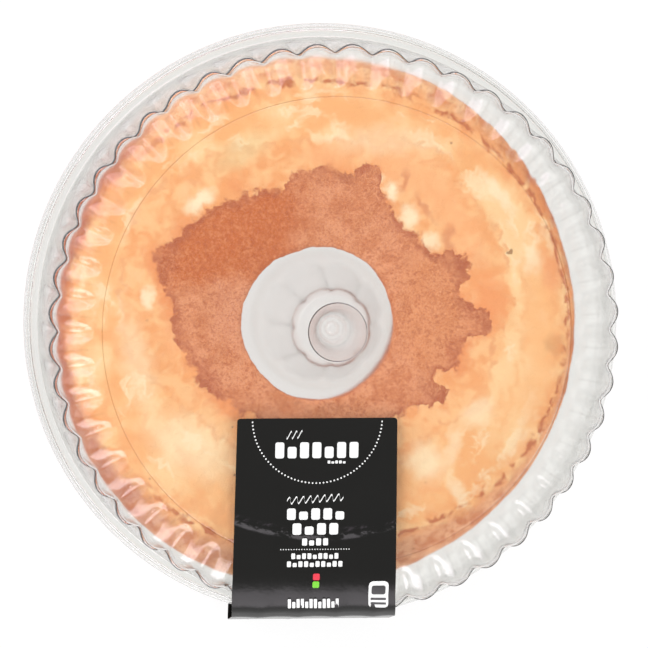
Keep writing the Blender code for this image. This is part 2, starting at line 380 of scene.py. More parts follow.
class Graph:
    """A material's nodes, with short calls for the ones that the finishes wire together."""

    def __init__(self, name: str) -> None:
        """Start a material with its Principled shader."""
        self.material = bpy.data.materials.new(name)
        self.material.use_nodes = True
        self.nodes = self.material.node_tree.nodes
        self.links = self.material.node_tree.links
        self.shader = self.nodes["Principled BSDF"]

    def feed(self, socket: Socket, value: Feed) -> None:
        """Link a socket to an input, or set the input to a plain value."""
        if isinstance(value, bpy.types.NodeSocket):
            self.links.new(value, socket)
        elif isinstance(value, tuple) and len(socket.default_value) == 4:
            socket.default_value = (*value, 1.0)
        else:
            socket.default_value = value

    def node(self, kind: str, **settings: object) -> bpy.types.Node:
        """Add a node and set its options."""
        node = self.nodes.new(kind)
        for name, value in settings.items():
            setattr(node, name, value)
        return node

    def maths(self, operation: str, *values: Feed) -> Socket:
        """Return a number worked out by a Math node."""
        node = self.node("ShaderNodeMath", operation=operation)
        for socket, value in zip(node.inputs, values):
            self.feed(socket, value)
        return node.outputs[0]

    def place_mm(self, centre: Vector) -> Socket:
        """Return the Object coordinates in millimetres from a centre."""
        coordinates = self.node("ShaderNodeTexCoord").outputs["Object"]
        mapping = self.node("ShaderNodeMapping", vector_type="POINT")
        self.feed(mapping.inputs["Vector"], coordinates)
        mapping.inputs["Location"].default_value = -centre / MILLIMETRE
        mapping.inputs["Scale"].default_value = (1.0 / MILLIMETRE,) * 3
        return mapping.outputs[0]

    def moved(self, place: Socket, centre: Point, turn: float, reach: Point) -> Socket:
        """Return places measured from a centre along turned axes, in units of a reach."""
        mapping = self.node("ShaderNodeMapping", vector_type="TEXTURE")
        self.feed(mapping.inputs["Vector"], place)
        mapping.inputs["Location"].default_value = (*centre, 0.0)
        mapping.inputs["Rotation"].default_value = (0.0, 0.0, math.radians(turn))
        mapping.inputs["Scale"].default_value = (*reach, 1000.0)
        return mapping.outputs[0]

    def polar(self, place: Socket) -> tuple[Socket, Socket, Socket]:
        """Return a place's level part, its reach from the axis and its direction.

        Args:
            place: The place.

        Returns:
            The place without its height, the distance from the axis, and the direction as a
            share of a turn, 0 and 1 at -X.
        """
        axes = self.node("ShaderNodeSeparateXYZ")
        self.feed(axes.inputs[0], place)
        level = self.node("ShaderNodeCombineXYZ")
        self.feed(level.inputs[0], axes.outputs[0])
        self.feed(level.inputs[1], axes.outputs[1])
        angle = self.maths("ARCTAN2", axes.outputs[1], axes.outputs[0])
        share = self.maths("MULTIPLY_ADD", angle, 1.0 / FULL_TURN, 0.5)
        return level.outputs[0], self.length(level.outputs[0]), share

    def blend(self, under: Socket, mask: Socket, share: float, over: Feed) -> Socket:
        """Return a colour with another laid over it, up to a share, where a mask is 1."""
        return self.mix(self.maths("MULTIPLY", mask, share), under, over)

    def length(self, vector: Socket) -> Socket:
        """Return a vector's length."""
        node = self.node("ShaderNodeVectorMath", operation="LENGTH")
        self.feed(node.inputs[0], vector)
        return node.outputs["Value"]

    def noise(
        self,
        place: Socket,
        grain: float,
        detail: float = 2.0,
        roughness: float = 0.5,
        distortion: float = 0.0,
        colour: bool = False,
    ) -> Socket:
        """Return noise whose lumps are about a grain across, in the place's own unit."""
        node = self.node("ShaderNodeTexNoise")
        self.feed(node.inputs["Vector"], place)
        node.inputs["Scale"].default_value = 1.0 / grain
        node.inputs["Detail"].default_value = detail
        node.inputs["Roughness"].default_value = roughness
        node.inputs["Distortion"].default_value = distortion
        return node.outputs["Color" if colour else "Fac"]

    def warp(self, place: Socket, grain: float, reach: float) -> Socket:
        """Return places pushed about by noise, up to about a reach."""
        cloud = self.noise(place, grain, detail=3.0, colour=True)
        centred = self.node("ShaderNodeVectorMath", operation="SUBTRACT")
        self.feed(centred.inputs[0], cloud)
        centred.inputs[1].default_value = (0.5, 0.5, 0.5)
        scaled = self.node("ShaderNodeVectorMath", operation="MULTIPLY_ADD")
        self.feed(scaled.inputs[0], centred.outputs[0])
        scaled.inputs[1].default_value = (2.0 * reach, 2.0 * reach, 0.0)
        self.feed(scaled.inputs[2], place)
        return scaled.outputs[0]

    def ease(self, value: Feed, low: Feed, high: Feed) -> Socket:
        """Return 0 below the low value and 1 above the high one, eased between them."""
        node = self.node("ShaderNodeMapRange", interpolation_type="SMOOTHSTEP")
        self.feed(node.inputs["Value"], value)
        self.feed(node.inputs["From Min"], low)
        self.feed(node.inputs["From Max"], high)
        return node.outputs["Result"]

    def fade(self, value: Feed, low: Feed, high: Feed) -> Socket:
        """Return 1 below the low value and 0 above the high one, eased between them."""
        return self.maths("SUBTRACT", 1.0, self.ease(value, low, high))

    def curve(self, value: Socket, points: Iterable[Point]) -> Socket:
        """Return a value read from a smooth curve through given points."""
        node = self.node("ShaderNodeFloatCurve")
        self.feed(node.inputs["Value"], value)
        line = node.mapping.curves[0]
        points = list(points)
        while len(line.points) < len(points):
            line.points.new(0.5, 0.5)
        for knot, (across, level) in zip(line.points, points):
            knot.location = (across, level)
            knot.handle_type = "AUTO"
        node.mapping.update()
        return node.outputs[0]

    def mix(self, share: Feed, first: Feed, second: Feed) -> Socket:
        """Return two colours mixed by a share."""
        node = self.node("ShaderNodeMix", data_type="RGBA")
        self.feed(node.inputs["Factor"], share)
        self.feed(node.inputs[6], first)
        self.feed(node.inputs[7], second)
        return node.outputs[2]

    def bump(self, height: Socket, distance: float, strength: float = 1.0) -> Socket:
        """Return a normal raised by a height of 0 to 1 over a distance in metres."""
        node = self.node("ShaderNodeBump")
        node.inputs["Strength"].default_value = strength
        node.inputs["Distance"].default_value = distance
        self.feed(node.inputs["Height"], height)
        return node.outputs[0]


@dataclass(frozen=True)
class ClearSheet:
    """Clear formed plastic sheet.

    Attributes:
        name: The material's name.
        tint: What the sheet lets through.
        edge_shade_tint: Painted shade, what it lets through where it is seen edge-on.
        haze: Share of the sheet's look that is milky.
        haze_radius: Radius beyond which it is clear again, or 0 for milky all over.
        milk: Colour of the milky part.
        roughness: Surface roughness.
        crease_radius: Radius of a crease round the sheet with painted shade, or 0 for none.
        crease_shade_tint: Colour of the painted shade along the crease.
        crease_share: How strongly the painted crease shade shows.
        ribs: Number of flute valleys round the sheet with painted shade, or 0 for none.
        rib_band: Radii between which they lie.
        rib_shade_tint: Painted shade in the valleys and on the thin line of each crest.
    """

    name: str
    tint: Colour = (0.912, 0.916, 0.900)
    edge_shade_tint: Colour = (0.52, 0.49, 0.46)
    haze: float = 0.0
    haze_radius: float = 0.0
    milk: Colour = (0.96, 0.95, 0.94)
    roughness: float = 0.12
    crease_radius: float = 0.0
    crease_shade_tint: Colour = (0.66, 0.54, 0.40)
    crease_share: float = 0.65
    ribs: int = 0
    rib_band: Point = (0.0985, 0.1140)
    rib_shade_tint: Colour = (0.865, 0.868, 0.850)

    # How edge-on the sheet turns before its painted edge shade begins,
    # and where that shade is darkest.
    EDGE_ON = (0.94, 1.0)
    # Millimetres over which the painted crease shade fades, and shares of the haze's radius
    # over which it does.
    CREASE_FADE = (0.10, 0.30)
    HAZE_FADE = (0.92, 1.12)
    # Shares of half a flute over which the painted shade in its valley fades
    # and the painted shade line on its crest begins.
    VALLEY_FADE = (0.30, 0.62)
    CREST_EASE = (0.90, 0.97)
    IOR = 1.5

    def material(self) -> bpy.types.Material:
        """Build the material."""
        graph = Graph(self.name)
        shader = graph.shader
        facing = graph.node("ShaderNodeLayerWeight").outputs["Facing"]
        edge_on = graph.ease(facing, *self.EDGE_ON)
        _, reach, turn = graph.polar(graph.place_mm(Vector()))
        colour = self.tint
        # Painted shade: greyer valleys and a thin grey line on each crest, in place of the flutes'
        # own light and shade.
        if self.ribs:
            colour = graph.mix(self.rib_shade_mask(graph, reach, turn), self.tint, self.rib_shade_tint)
        # Painted shade: darken the sheet where it is seen edge-on.
        colour = graph.mix(edge_on, colour, self.edge_shade_tint)
        # Painted shade: a thin dark line over the crease round the flat top.
        if self.crease_radius:
            gap = graph.maths("SUBTRACT", reach, self.crease_radius / MILLIMETRE)
            crease = graph.fade(graph.maths("ABSOLUTE", gap), *self.CREASE_FADE)
            colour = graph.blend(colour, crease, self.crease_share, self.crease_shade_tint)
        if self.haze_radius:
            edge = self.haze_radius / MILLIMETRE
            milky = graph.fade(reach, *(share * edge for share in self.HAZE_FADE))
            clear = graph.maths("MULTIPLY_ADD", milky, -self.haze, 1.0)
            graph.feed(shader.inputs["Transmission Weight"], clear)
            colour = graph.mix(milky, colour, self.milk)
        else:
            shader.inputs["Transmission Weight"].default_value = 1.0 - self.haze
        graph.feed(shader.inputs["Base Color"], colour)
        shader.inputs["Roughness"].default_value = self.roughness
        shader.inputs["IOR"].default_value = self.IOR
        return graph.material

    def rib_shade_mask(self, graph: Graph, reach: Socket, turn: Socket) -> Socket:
        """Return 1 where shade is painted, in the valleys and on each crest's thin line, else 0.
        """
        phase = graph.maths("PINGPONG", graph.maths("MULTIPLY", turn, 2.0 * self.ribs), 1.0)
        valley = graph.fade(phase, *self.VALLEY_FADE)
        crest = graph.ease(phase, *self.CREST_EASE)
        low, high = (radius / MILLIMETRE for radius in self.rib_band)
        band = graph.maths(
            "MULTIPLY",
            graph.ease(reach, low - 1.0, low + 1.5),
            graph.fade(reach, high, high + 0.5),
        )
        both = graph.maths("MAXIMUM", valley, crest)
        return graph.maths("MULTIPLY", both, band)


def let_lamps_through(piece: bpy.types.Object) -> None:
    """Let a clear piece pass the lamps' light, and the light that its neighbours scatter."""
    piece.visible_shadow = False
    piece.visible_diffuse = False


@dataclass(frozen=True)
class Patch:
    """One soft-edged patch of colour on the cake's top.

    Attributes:
        x: Place in millimetres right of the pack's axis.
        y: Place in millimetres behind the pack's axis.
        reach: Half its size along and across, in millimetres.
        turn: Turn of its long side, in degrees.
        colour: Its colour.
        share: How strongly it covers.
        soft: Share of its reach over which it fades.
    """

    x: float
    y: float
    reach: Point
    turn: float
    colour: Colour
    share: float = 0.8
    soft: float = 0.7


@dataclass(frozen=True)
class Sponge:
    """Baked sponge: pale peach top, orange tide marks and a browned star round the hole.

    Attributes:
        centre: The ring's axis.
        lit: Share of the light that a surface gives back under the studio lamps.
    """

    centre: Vector
    lit: float = 0.875

    # Reach of the browned star by direction, in degrees from +X and millimetres.
    STAR = (
        (-180, 58.5), (-163, 54.8), (-150, 52.0), (-132, 47.5), (-110, 44.0), (-80, 44.0),
        (-55, 49.0), (-41, 51.5), (-30, 60.0), (-25, 53.0), (-17, 59.0), (-9, 59.5),
        (-2, 69.0), (3, 69.5), (10, 58.0), (17, 62.0), (25, 65.0), (30, 54.5),
        (42, 53.5), (56, 53.0), (64, 57.0), (72, 67.0), (80, 62.0), (88, 62.0),
        (98, 61.5), (108, 54.8), (117, 60.5), (135, 63.5), (150, 66.5), (158, 71.0),
        (166, 63.0), (174, 59.0), (180, 58.5),
    )  # fmt: skip
    # Reach of the orange tide mark by direction.
    TIDE = (
        (-180, 78.0), (-168, 75.0), (-158, 67.0), (-147, 64.0), (-130, 60.0), (-90, 58.0),
        (-59, 64.0), (-50, 65.0), (-40, 65.5), (-30, 71.5), (-20, 73.5), (-5, 72.0),
        (0, 76.0), (8, 77.0), (25, 80.0), (42, 81.5), (58, 83.0), (72, 76.0),
        (88, 73.0), (105, 74.0), (125, 80.0), (150, 84.0), (166, 80.5), (180, 78.0),
    )  # fmt: skip
    # Where the browned edge begins, by direction.
    CRUST = (
        (-180, 97.5), (-150, 96.5), (-130, 95.0), (-110, 93.5), (-90, 91.5), (-65, 91.5),
        (-53, 95.5), (-34, 99.5), (-15, 101.0), (0, 101.0), (25, 100.5), (45, 99.0),
        (60, 98.0), (90, 97.5), (120, 97.0), (150, 97.0), (180, 97.5),
    )  # fmt: skip
    # Grain and push of the ragged edges, in millimetres.
    RAGGED = ((14.0, 4.5), (5.0, 4.5), (1.7, 2.4))
    REACH_SCALE = 120.0

    def patches(self) -> tuple[Patch, ...]:
        """List the patches that stand out on the top, undermost first."""
        cream = tone(255, 232, 192, self.lit)
        peach = tone(252, 178, 118, self.lit)
        orange = tone(243, 150, 86, self.lit)
        brown = tone(205, 112, 66, self.lit)
        moss = tone(232, 205, 150, self.lit)
        return (
            Patch(61.5, 12.7, (8.0, 13.0), 10, orange, 0.75),
            Patch(-3.0, 70.6, (12.0, 6.0), 0, peach, 0.7),
            Patch(24.0, 66.0, (9.0, 12.0), 20, peach, 0.8),
            Patch(38.0, 57.0, (9.0, 16.0), 40, peach, 0.7),
            Patch(50.0, 40.0, (8.0, 14.0), 30, peach, 0.6),
            Patch(27.1, 60.6, (1.6, 5.5), -8, brown, 0.55),
            Patch(35.0, 49.5, (1.6, 6.5), 35, brown, 0.5),
            Patch(44.5, 38.5, (2.6, 4.0), 0, brown, 0.5),
            Patch(45.5, 33.5, (2.2, 3.0), 20, brown, 0.5),
            Patch(22.0, 56.2, (3.2, 4.4), 0, cream, 0.95),
            Patch(28.7, 45.9, (4.4, 4.8), -30, cream, 0.85),
            Patch(37.5, 36.0, (3.6, 4.0), -50, cream, 0.75),
            Patch(16.5, 61.5, (3.0, 2.0), 20, cream, 0.55),
            Patch(-55.0, 52.2, (7.5, 3.4), 35, cream, 0.95),
            Patch(-75.8, 13.9, (3.2, 5.0), 0, cream, 0.85),
            Patch(79.4, 28.5, (4.4, 6.6), 5, cream, 0.85),
            Patch(64.7, 55.8, (12.0, 3.0), -48, cream, 0.75),
            Patch(84.0, 2.0, (9.0, 34.0), 0, tone(253, 182, 116, self.lit), 0.75),
            Patch(76.0, -28.0, (12.0, 12.0), 0, tone(253, 190, 128, self.lit), 0.6),
            Patch(87.0, 24.0, (5.0, 10.0), 12, tone(244, 160, 104, self.lit), 0.7),
            Patch(88.0, -6.0, (5.0, 4.0), 0, tone(206, 150, 96, self.lit), 0.5),
            Patch(69.5, 31.5, (1.1, 0.9), 0, tone(150, 96, 40, self.lit), 0.8, 0.4),
            Patch(56.7, -32.5, (8.0, 6.0), 45, cream, 0.55),
            Patch(36.0, -52.5, (9.0, 8.0), -30, cream, 0.60),
            Patch(47.0, -46.5, (3.5, 10.0), -10, cream, 0.5),
            Patch(49.0, -65.0, (3.0, 7.5), 32, cream, 0.65),
            Patch(16.8, 76.6, (22.0, 7.0), 0, cream, 0.35),
            Patch(-38.0, 72.0, (16.0, 6.0), 35, moss, 0.45),
            Patch(-59.0, -46.0, (20.0, 12.0), -30, cream, 0.45),
            Patch(-80.0, -12.0, (7.0, 22.0), 12, cream, 0.4),
            Patch(-64.0, -3.0, (7.0, 6.0), 0, peach, 0.6),
        )

    def tones(self, graph: Graph, place: Socket) -> Socket:
        """Wire up the colour of the sponge.

        Args:
            graph: The material's nodes.
            place: Places in millimetres from the ring's axis.

        Returns:
            The colour.
        """
        lit = self.lit
        warped = place
        for grain, push in self.RAGGED:
            warped = graph.warp(warped, grain, push)
        level, reach, share = graph.polar(warped)
        star = self.border(graph, share, self.STAR)
        tide = self.border(graph, share, self.TIDE)
        broad = graph.noise(place, 22.0, detail=3.0)
        medium = graph.noise(place, 7.0, detail=3.0, distortion=0.6)
        streak = self.streaks(graph, level, reach)
        fine = graph.noise(place, 1.7, detail=4.0, roughness=0.66, distortion=1.8)

        pale = graph.mix(
            graph.ease(broad, 0.38, 0.62), tone(248, 176, 110, lit), tone(255, 206, 148, lit)
        )
        pale = graph.blend(pale, graph.ease(streak, 0.50, 0.64), 0.60, tone(246, 168, 104, lit))
        pale = graph.blend(pale, graph.fade(streak, 0.34, 0.45), 0.65, tone(255, 226, 182, lit))
        inner = graph.mix(
            graph.ease(medium, 0.38, 0.62), tone(244, 162, 96, lit), tone(252, 190, 130, lit)
        )
        inside = graph.fade(graph.maths("SUBTRACT", reach, tide), -2.2, 2.2)
        colour = graph.blend(pale, inside, 0.85, inner)
        line = self.near(graph, reach, tide, 1.8)
        line = graph.maths("MULTIPLY", line, graph.ease(medium, 0.42, 0.56))
        colour = graph.blend(colour, line, 0.40, tone(226, 136, 76, lit))

        from_star = graph.maths("SUBTRACT", reach, star)
        glow = graph.fade(from_star, 0.0, 8.0)
        glow = graph.maths("MULTIPLY", glow, graph.ease(broad, 0.38, 0.60))
        colour = graph.blend(colour, glow, 0.75, tone(236, 138, 74, lit))
        colour = self.patched(graph, place, colour)

        crust = self.browned(graph, warped, from_star, medium, fine)
        covered = graph.fade(from_star, -1.0, 1.0)
        colour = graph.mix(covered, colour, crust)
        return self.edged(graph, place, colour, medium, fine)

    def streaks(self, graph: Graph, level: Socket, reach: Socket) -> Socket:
        """Return noise drawn out round the ring."""
        way = graph.node("ShaderNodeVectorMath", operation="NORMALIZE")
        graph.feed(way.inputs[0], level)
        wide = graph.node("ShaderNodeVectorMath", operation="SCALE")
        graph.feed(wide.inputs[0], way.outputs[0])
        wide.inputs["Scale"].default_value = 34.0
        axes = graph.node("ShaderNodeSeparateXYZ")
        graph.feed(axes.inputs[0], wide.outputs[0])
        place = graph.node("ShaderNodeCombineXYZ")
        graph.feed(place.inputs[0], axes.outputs[0])
        graph.feed(place.inputs[1], axes.outputs[1])
        graph.feed(place.inputs[2], reach)
        return graph.noise(place.outputs[0], 8.0, detail=3.0, roughness=0.55)

    def browned(
        self, graph: Graph, place: Socket, from_star: Socket, medium: Socket, fine: Socket
    ) -> Socket:
        """Wire up the browned star: fine curly crumb, a scorched side and a dark rim.

        Args:
            graph: The material's nodes.
            place: Ragged places in millimetres from the ring's axis.
            from_star: Distance outwards from the star's outline.
            medium: Noise of a few millimetres.
            fine: Noise of about a millimetre.

        Returns:
            The star's colour.
        """
        lit = self.lit
        crust = graph.mix(
            graph.ease(medium, 0.36, 0.64), tone(208, 122, 72, lit), tone(226, 146, 100, lit)
        )
        for scorch in (
            Patch(-41.0, 38.0, (33.0, 17.0), 28, tone(200, 98, 26, lit), 1.0, 0.35),
            Patch(-22.0, 22.0, (17.0, 13.0), 130, tone(200, 100, 34, lit), 0.9, 0.45),
            Patch(-38.0, 6.0, (14.0, 16.0), 20, tone(222, 146, 108, lit), 0.6, 0.5),
            Patch(40.0, 8.0, (16.0, 34.0), 0, tone(220, 136, 80, lit), 0.6, 0.5),
            Patch(40.0, 31.0, (4.0, 7.0), 20, tone(180, 92, 46, lit), 0.85, 0.6),
            Patch(3.0, 65.0, (5.0, 6.0), -10, tone(178, 96, 54, lit), 0.75, 0.6),
            Patch(49.0, 27.5, (5.0, 6.0), 0, tone(184, 96, 50, lit), 0.85, 0.6),
            Patch(54.0, 11.0, (9.0, 5.0), -20, tone(186, 98, 52, lit), 0.8, 0.6),
            Patch(60.0, 4.0, (6.0, 4.0), 10, tone(182, 92, 46, lit), 0.8, 0.6),
            Patch(47.0, -8.0, (4.0, 9.0), 0, tone(196, 106, 58, lit), 0.7, 0.6),
            Patch(40.0, -25.0, (9.0, 4.0), -30, tone(184, 96, 52, lit), 0.8, 0.6),
            Patch(-68.0, 27.0, (11.0, 3.5), 62, tone(184, 88, 32, lit), 0.9, 0.7),
            Patch(-50.0, 50.0, (15.0, 4.0), 24, tone(182, 88, 34, lit), 0.85, 0.7),
            Patch(-52.0, -18.0, (4.0, 10.0), 30, tone(194, 106, 66, lit), 0.6, 0.6),
        ):
            crust = self.lay(graph, place, crust, scorch)
        crust = graph.blend(crust, graph.ease(fine, 0.52, 0.58), 0.42, tone(238, 162, 110, lit))
        crust = graph.blend(crust, graph.fade(fine, 0.40, 0.47), 0.60, tone(176, 84, 36, lit))
        rim = graph.ease(from_star, -5.0, -0.5)
        rim = graph.maths("MULTIPLY", rim, graph.ease(medium, 0.40, 0.54))
        return graph.blend(crust, rim, 0.85, tone(176, 82, 36, lit))

    def border(self, graph: Graph, share: Socket, outline: tuple[Point, ...]) -> Socket:
        """Return an outline's reach, in millimetres, in a direction given as a share of a turn."""
        points = [(turn / 360.0 + 0.5, reach / self.REACH_SCALE) for turn, reach in outline]
        return graph.maths("MULTIPLY", graph.curve(share, points), self.REACH_SCALE)

    def near(self, graph: Graph, reach: Socket, outline: Socket, width: float) -> Socket:
        """Return 1 on an outline, fading to 0 a width away."""
        gap = graph.maths("ABSOLUTE", graph.maths("SUBTRACT", reach, outline))
        return graph.fade(gap, 0.0, width)

    def lay(self, graph: Graph, place: Socket, under: Socket, patch: Patch) -> Socket:
        """Return the colour under a patch with the patch laid over it."""
        centre = (patch.x - self.centre.x / MILLIMETRE, patch.y - self.centre.y / MILLIMETRE)
        local = graph.moved(place, centre, patch.turn, patch.reach)
        cover = graph.fade(graph.length(local), 1.0 - patch.soft, 1.0 + patch.soft * 0.5)
        return graph.mix(graph.maths("MULTIPLY", cover, patch.share), under, patch.colour)

    def patched(self, graph: Graph, place: Socket, colour: Socket) -> Socket:
        """Lay every patch over a colour, each with a ragged edge."""
        ragged = graph.warp(graph.warp(place, 5.0, 3.4), 1.5, 0.8)
        for patch in self.patches():
            colour = self.lay(graph, ragged, colour, patch)
        return colour

    def edged(
        self, graph: Graph, place: Socket, colour: Socket, medium: Socket, fine: Socket
    ) -> Socket:
        """Add the browned outer edge and side, and the dark specks.

        Args:
            graph: The material's nodes.
            place: Places in millimetres from the ring's axis.
            colour: Colour of the top.
            medium: Noise of a few millimetres.
            fine: Noise of about a millimetre.

        Returns:
            The whole sponge's colour.
        """
        lit = self.lit
        _, reach, share = graph.polar(graph.warp(graph.warp(place, 9.0, 3.5), 2.4, 2.0))
        past = graph.maths("SUBTRACT", reach, self.border(graph, share, self.CRUST))
        axes = graph.node("ShaderNodeSeparateXYZ")
        graph.feed(axes.inputs[0], place)
        front = graph.fade(axes.outputs[1], -60.0, -10.0)
        back = graph.ease(axes.outputs[1], 50.0, 85.0)
        right = graph.ease(axes.outputs[0], -85.0, -50.0)
        uneven = graph.ease(medium, 0.36, 0.64)
        skin = graph.mix(uneven, tone(176, 80, 22, lit), tone(216, 122, 58, lit))
        tan = graph.mix(uneven, tone(208, 126, 76, lit), tone(238, 174, 128, lit))
        light = graph.mix(uneven, tone(222, 136, 78, lit), tone(248, 190, 136, lit))
        skin = graph.mix(back, graph.mix(front, skin, tan), light)
        skin = graph.blend(skin, graph.fade(fine, 0.39, 0.48), 0.5, tone(184, 92, 40, lit))
        glow = graph.maths("MULTIPLY", graph.ease(past, -10.0, 2.0), uneven)
        colour = graph.blend(colour, glow, 0.70, tone(238, 144, 76, lit))
        colour = graph.mix(graph.ease(past, -1.0, 6.0), colour, skin)
        low = graph.maths("MULTIPLY", graph.ease(past, 1.0, 6.0), graph.fade(right, 0.0, 1.0))
        colour = graph.blend(colour, low, 0.6, tone(168, 72, 20, lit))
        line = graph.fade(graph.maths("ABSOLUTE", past), 0.0, 1.8)
        line = graph.maths("MULTIPLY", line, graph.ease(medium, 0.40, 0.54))
        line = graph.maths("MULTIPLY", line, right)
        colour = graph.blend(colour, line, 0.85, tone(186, 90, 40, lit))
        cells = graph.node("ShaderNodeTexVoronoi")
        graph.feed(cells.inputs["Vector"], place)
        cells.inputs["Scale"].default_value = 1.0 / 11.0
        speck = graph.fade(cells.outputs["Distance"], 0.035, 0.06)
        picked = graph.node("ShaderNodeSeparateColor")
        graph.feed(picked.inputs[0], cells.outputs["Color"])
        speck = graph.maths("MULTIPLY", speck, graph.ease(picked.outputs[0], 0.5, 0.52))
        return graph.blend(colour, speck, 0.7, tone(150, 96, 60, lit))

    def material(self) -> bpy.types.Material:
        """Build the material."""
        graph = Graph("baked_sponge")
        place = graph.place_mm(self.centre)
        graph.feed(graph.shader.inputs["Base Color"], self.tones(graph, place))
        graph.shader.inputs["Roughness"].default_value = 0.82
        graph.shader.inputs["Specular IOR Level"].default_value = 0.3
        crumb = graph.noise(place, 1.6, detail=4.0, roughness=0.65, distortion=0.8)
        graph.feed(graph.shader.inputs["Normal"], graph.bump(crumb, 0.0006, 0.7))
        return graph.material


@dataclass(frozen=True)
class PrintFilm:
    """Black satin label film with faint creases.

    Attributes:
        colour: Its colour.
        roughness: Surface roughness.
        specular: How strongly it mirrors.
        fold_place: Where the fold's middle lies, in millimetres.
        fold_bow: How much the fold bows, for each millimetre aside squared.
        fold_reach: Millimetres over which the fold fades.
    """

    colour: Colour = (0.0042, 0.0040, 0.0034)
    roughness: float = 0.22
    specular: float = 0.28
    fold_place: Point = (-6.0, -80.8)
    fold_bow: float = 0.0052
    fold_reach: float = 3.2

    def material(self) -> bpy.types.Material:
        """Build the material."""
        graph = Graph("black_label_film")
        place = graph.place_mm(Vector())
        cloud = graph.noise(place, 14.0, detail=4.0)
        colour = graph.mix(cloud, self.colour, tuple(1.5 * part for part in self.colour))
        graph.feed(graph.shader.inputs["Base Color"], colour)
        graph.shader.inputs["Roughness"].default_value = self.roughness
        graph.shader.inputs["Specular IOR Level"].default_value = self.specular
        creases = graph.noise(place, 2.5, detail=3.0, roughness=0.55)
        fine = graph.maths("MULTIPLY", creases, 0.08)
        height = graph.maths("MULTIPLY_ADD", self.fold(graph, place, cloud), 0.9, fine)
        graph.feed(graph.shader.inputs["Normal"], graph.bump(height, 0.001))
        return graph.material

    def fold(self, graph: Graph, place: Socket, cloud: Socket) -> Socket:
        """Return the soft fold that bows across the film just before the dome's shoulder."""
        axes = graph.node("ShaderNodeSeparateXYZ")
        graph.feed(axes.inputs[0], place)
        aside = graph.maths("ADD", axes.outputs[0], -self.fold_place[0])
        bow = graph.maths("MULTIPLY", graph.maths("MULTIPLY", aside, aside), self.fold_bow)
        along = graph.maths("ADD", axes.outputs[1], -self.fold_place[1])
        gap = graph.maths("SUBTRACT", along, bow)
        ridge = graph.fade(graph.maths("ABSOLUTE", gap), 0.0, self.fold_reach)
        return graph.maths("MULTIPLY", ridge, graph.ease(cloud, 0.30, 0.55))


@dataclass(frozen=True)
class Ink:
    """Printed ink, with the faint mottle of a fast press.

    Attributes:
        name: The material's name.
        colour: Its colour.
    """

    name: str
    colour: Colour

    def material(self) -> bpy.types.Material:
        """Build the material."""
        graph = Graph(self.name)
        place = graph.place_mm(Vector())
        mottle = graph.noise(place, 0.35, detail=2.0)
        worn = tuple(0.86 * part for part in self.colour)
        graph.feed(graph.shader.inputs["Base Color"], graph.mix(mottle, worn, self.colour))
        graph.shader.inputs["Roughness"].default_value = 0.4
        return graph.material


# ---------------------------------------------------------------- pack


@dataclass
class Shoulder:
    """The dome's rounded shoulder, a quarter ellipse from its flat top to its wall.

    Attributes:
        inner: Radius at the flat top.
        outer: Radius at the wall.
        low: Height at the wall.
        high: Height of the flat top.
    """

    inner: float
    outer: float
    low: float
    high: float

    def point(self, turn: float) -> Point:
        """Return radius and height, at a turn of 0 at the flat top and 90 degrees at the wall."""
        radius = self.inner + (self.outer - self.inner) * math.sin(turn)
        height = self.low + (self.high - self.low) * math.cos(turn)
        return radius, height

    def points(self, steps: int) -> list[Point]:
        """Return points from the wall up to the flat top, both ends included."""
        return [self.point(math.pi / 2.0 * (1.0 - i / steps)) for i in range(steps + 1)]


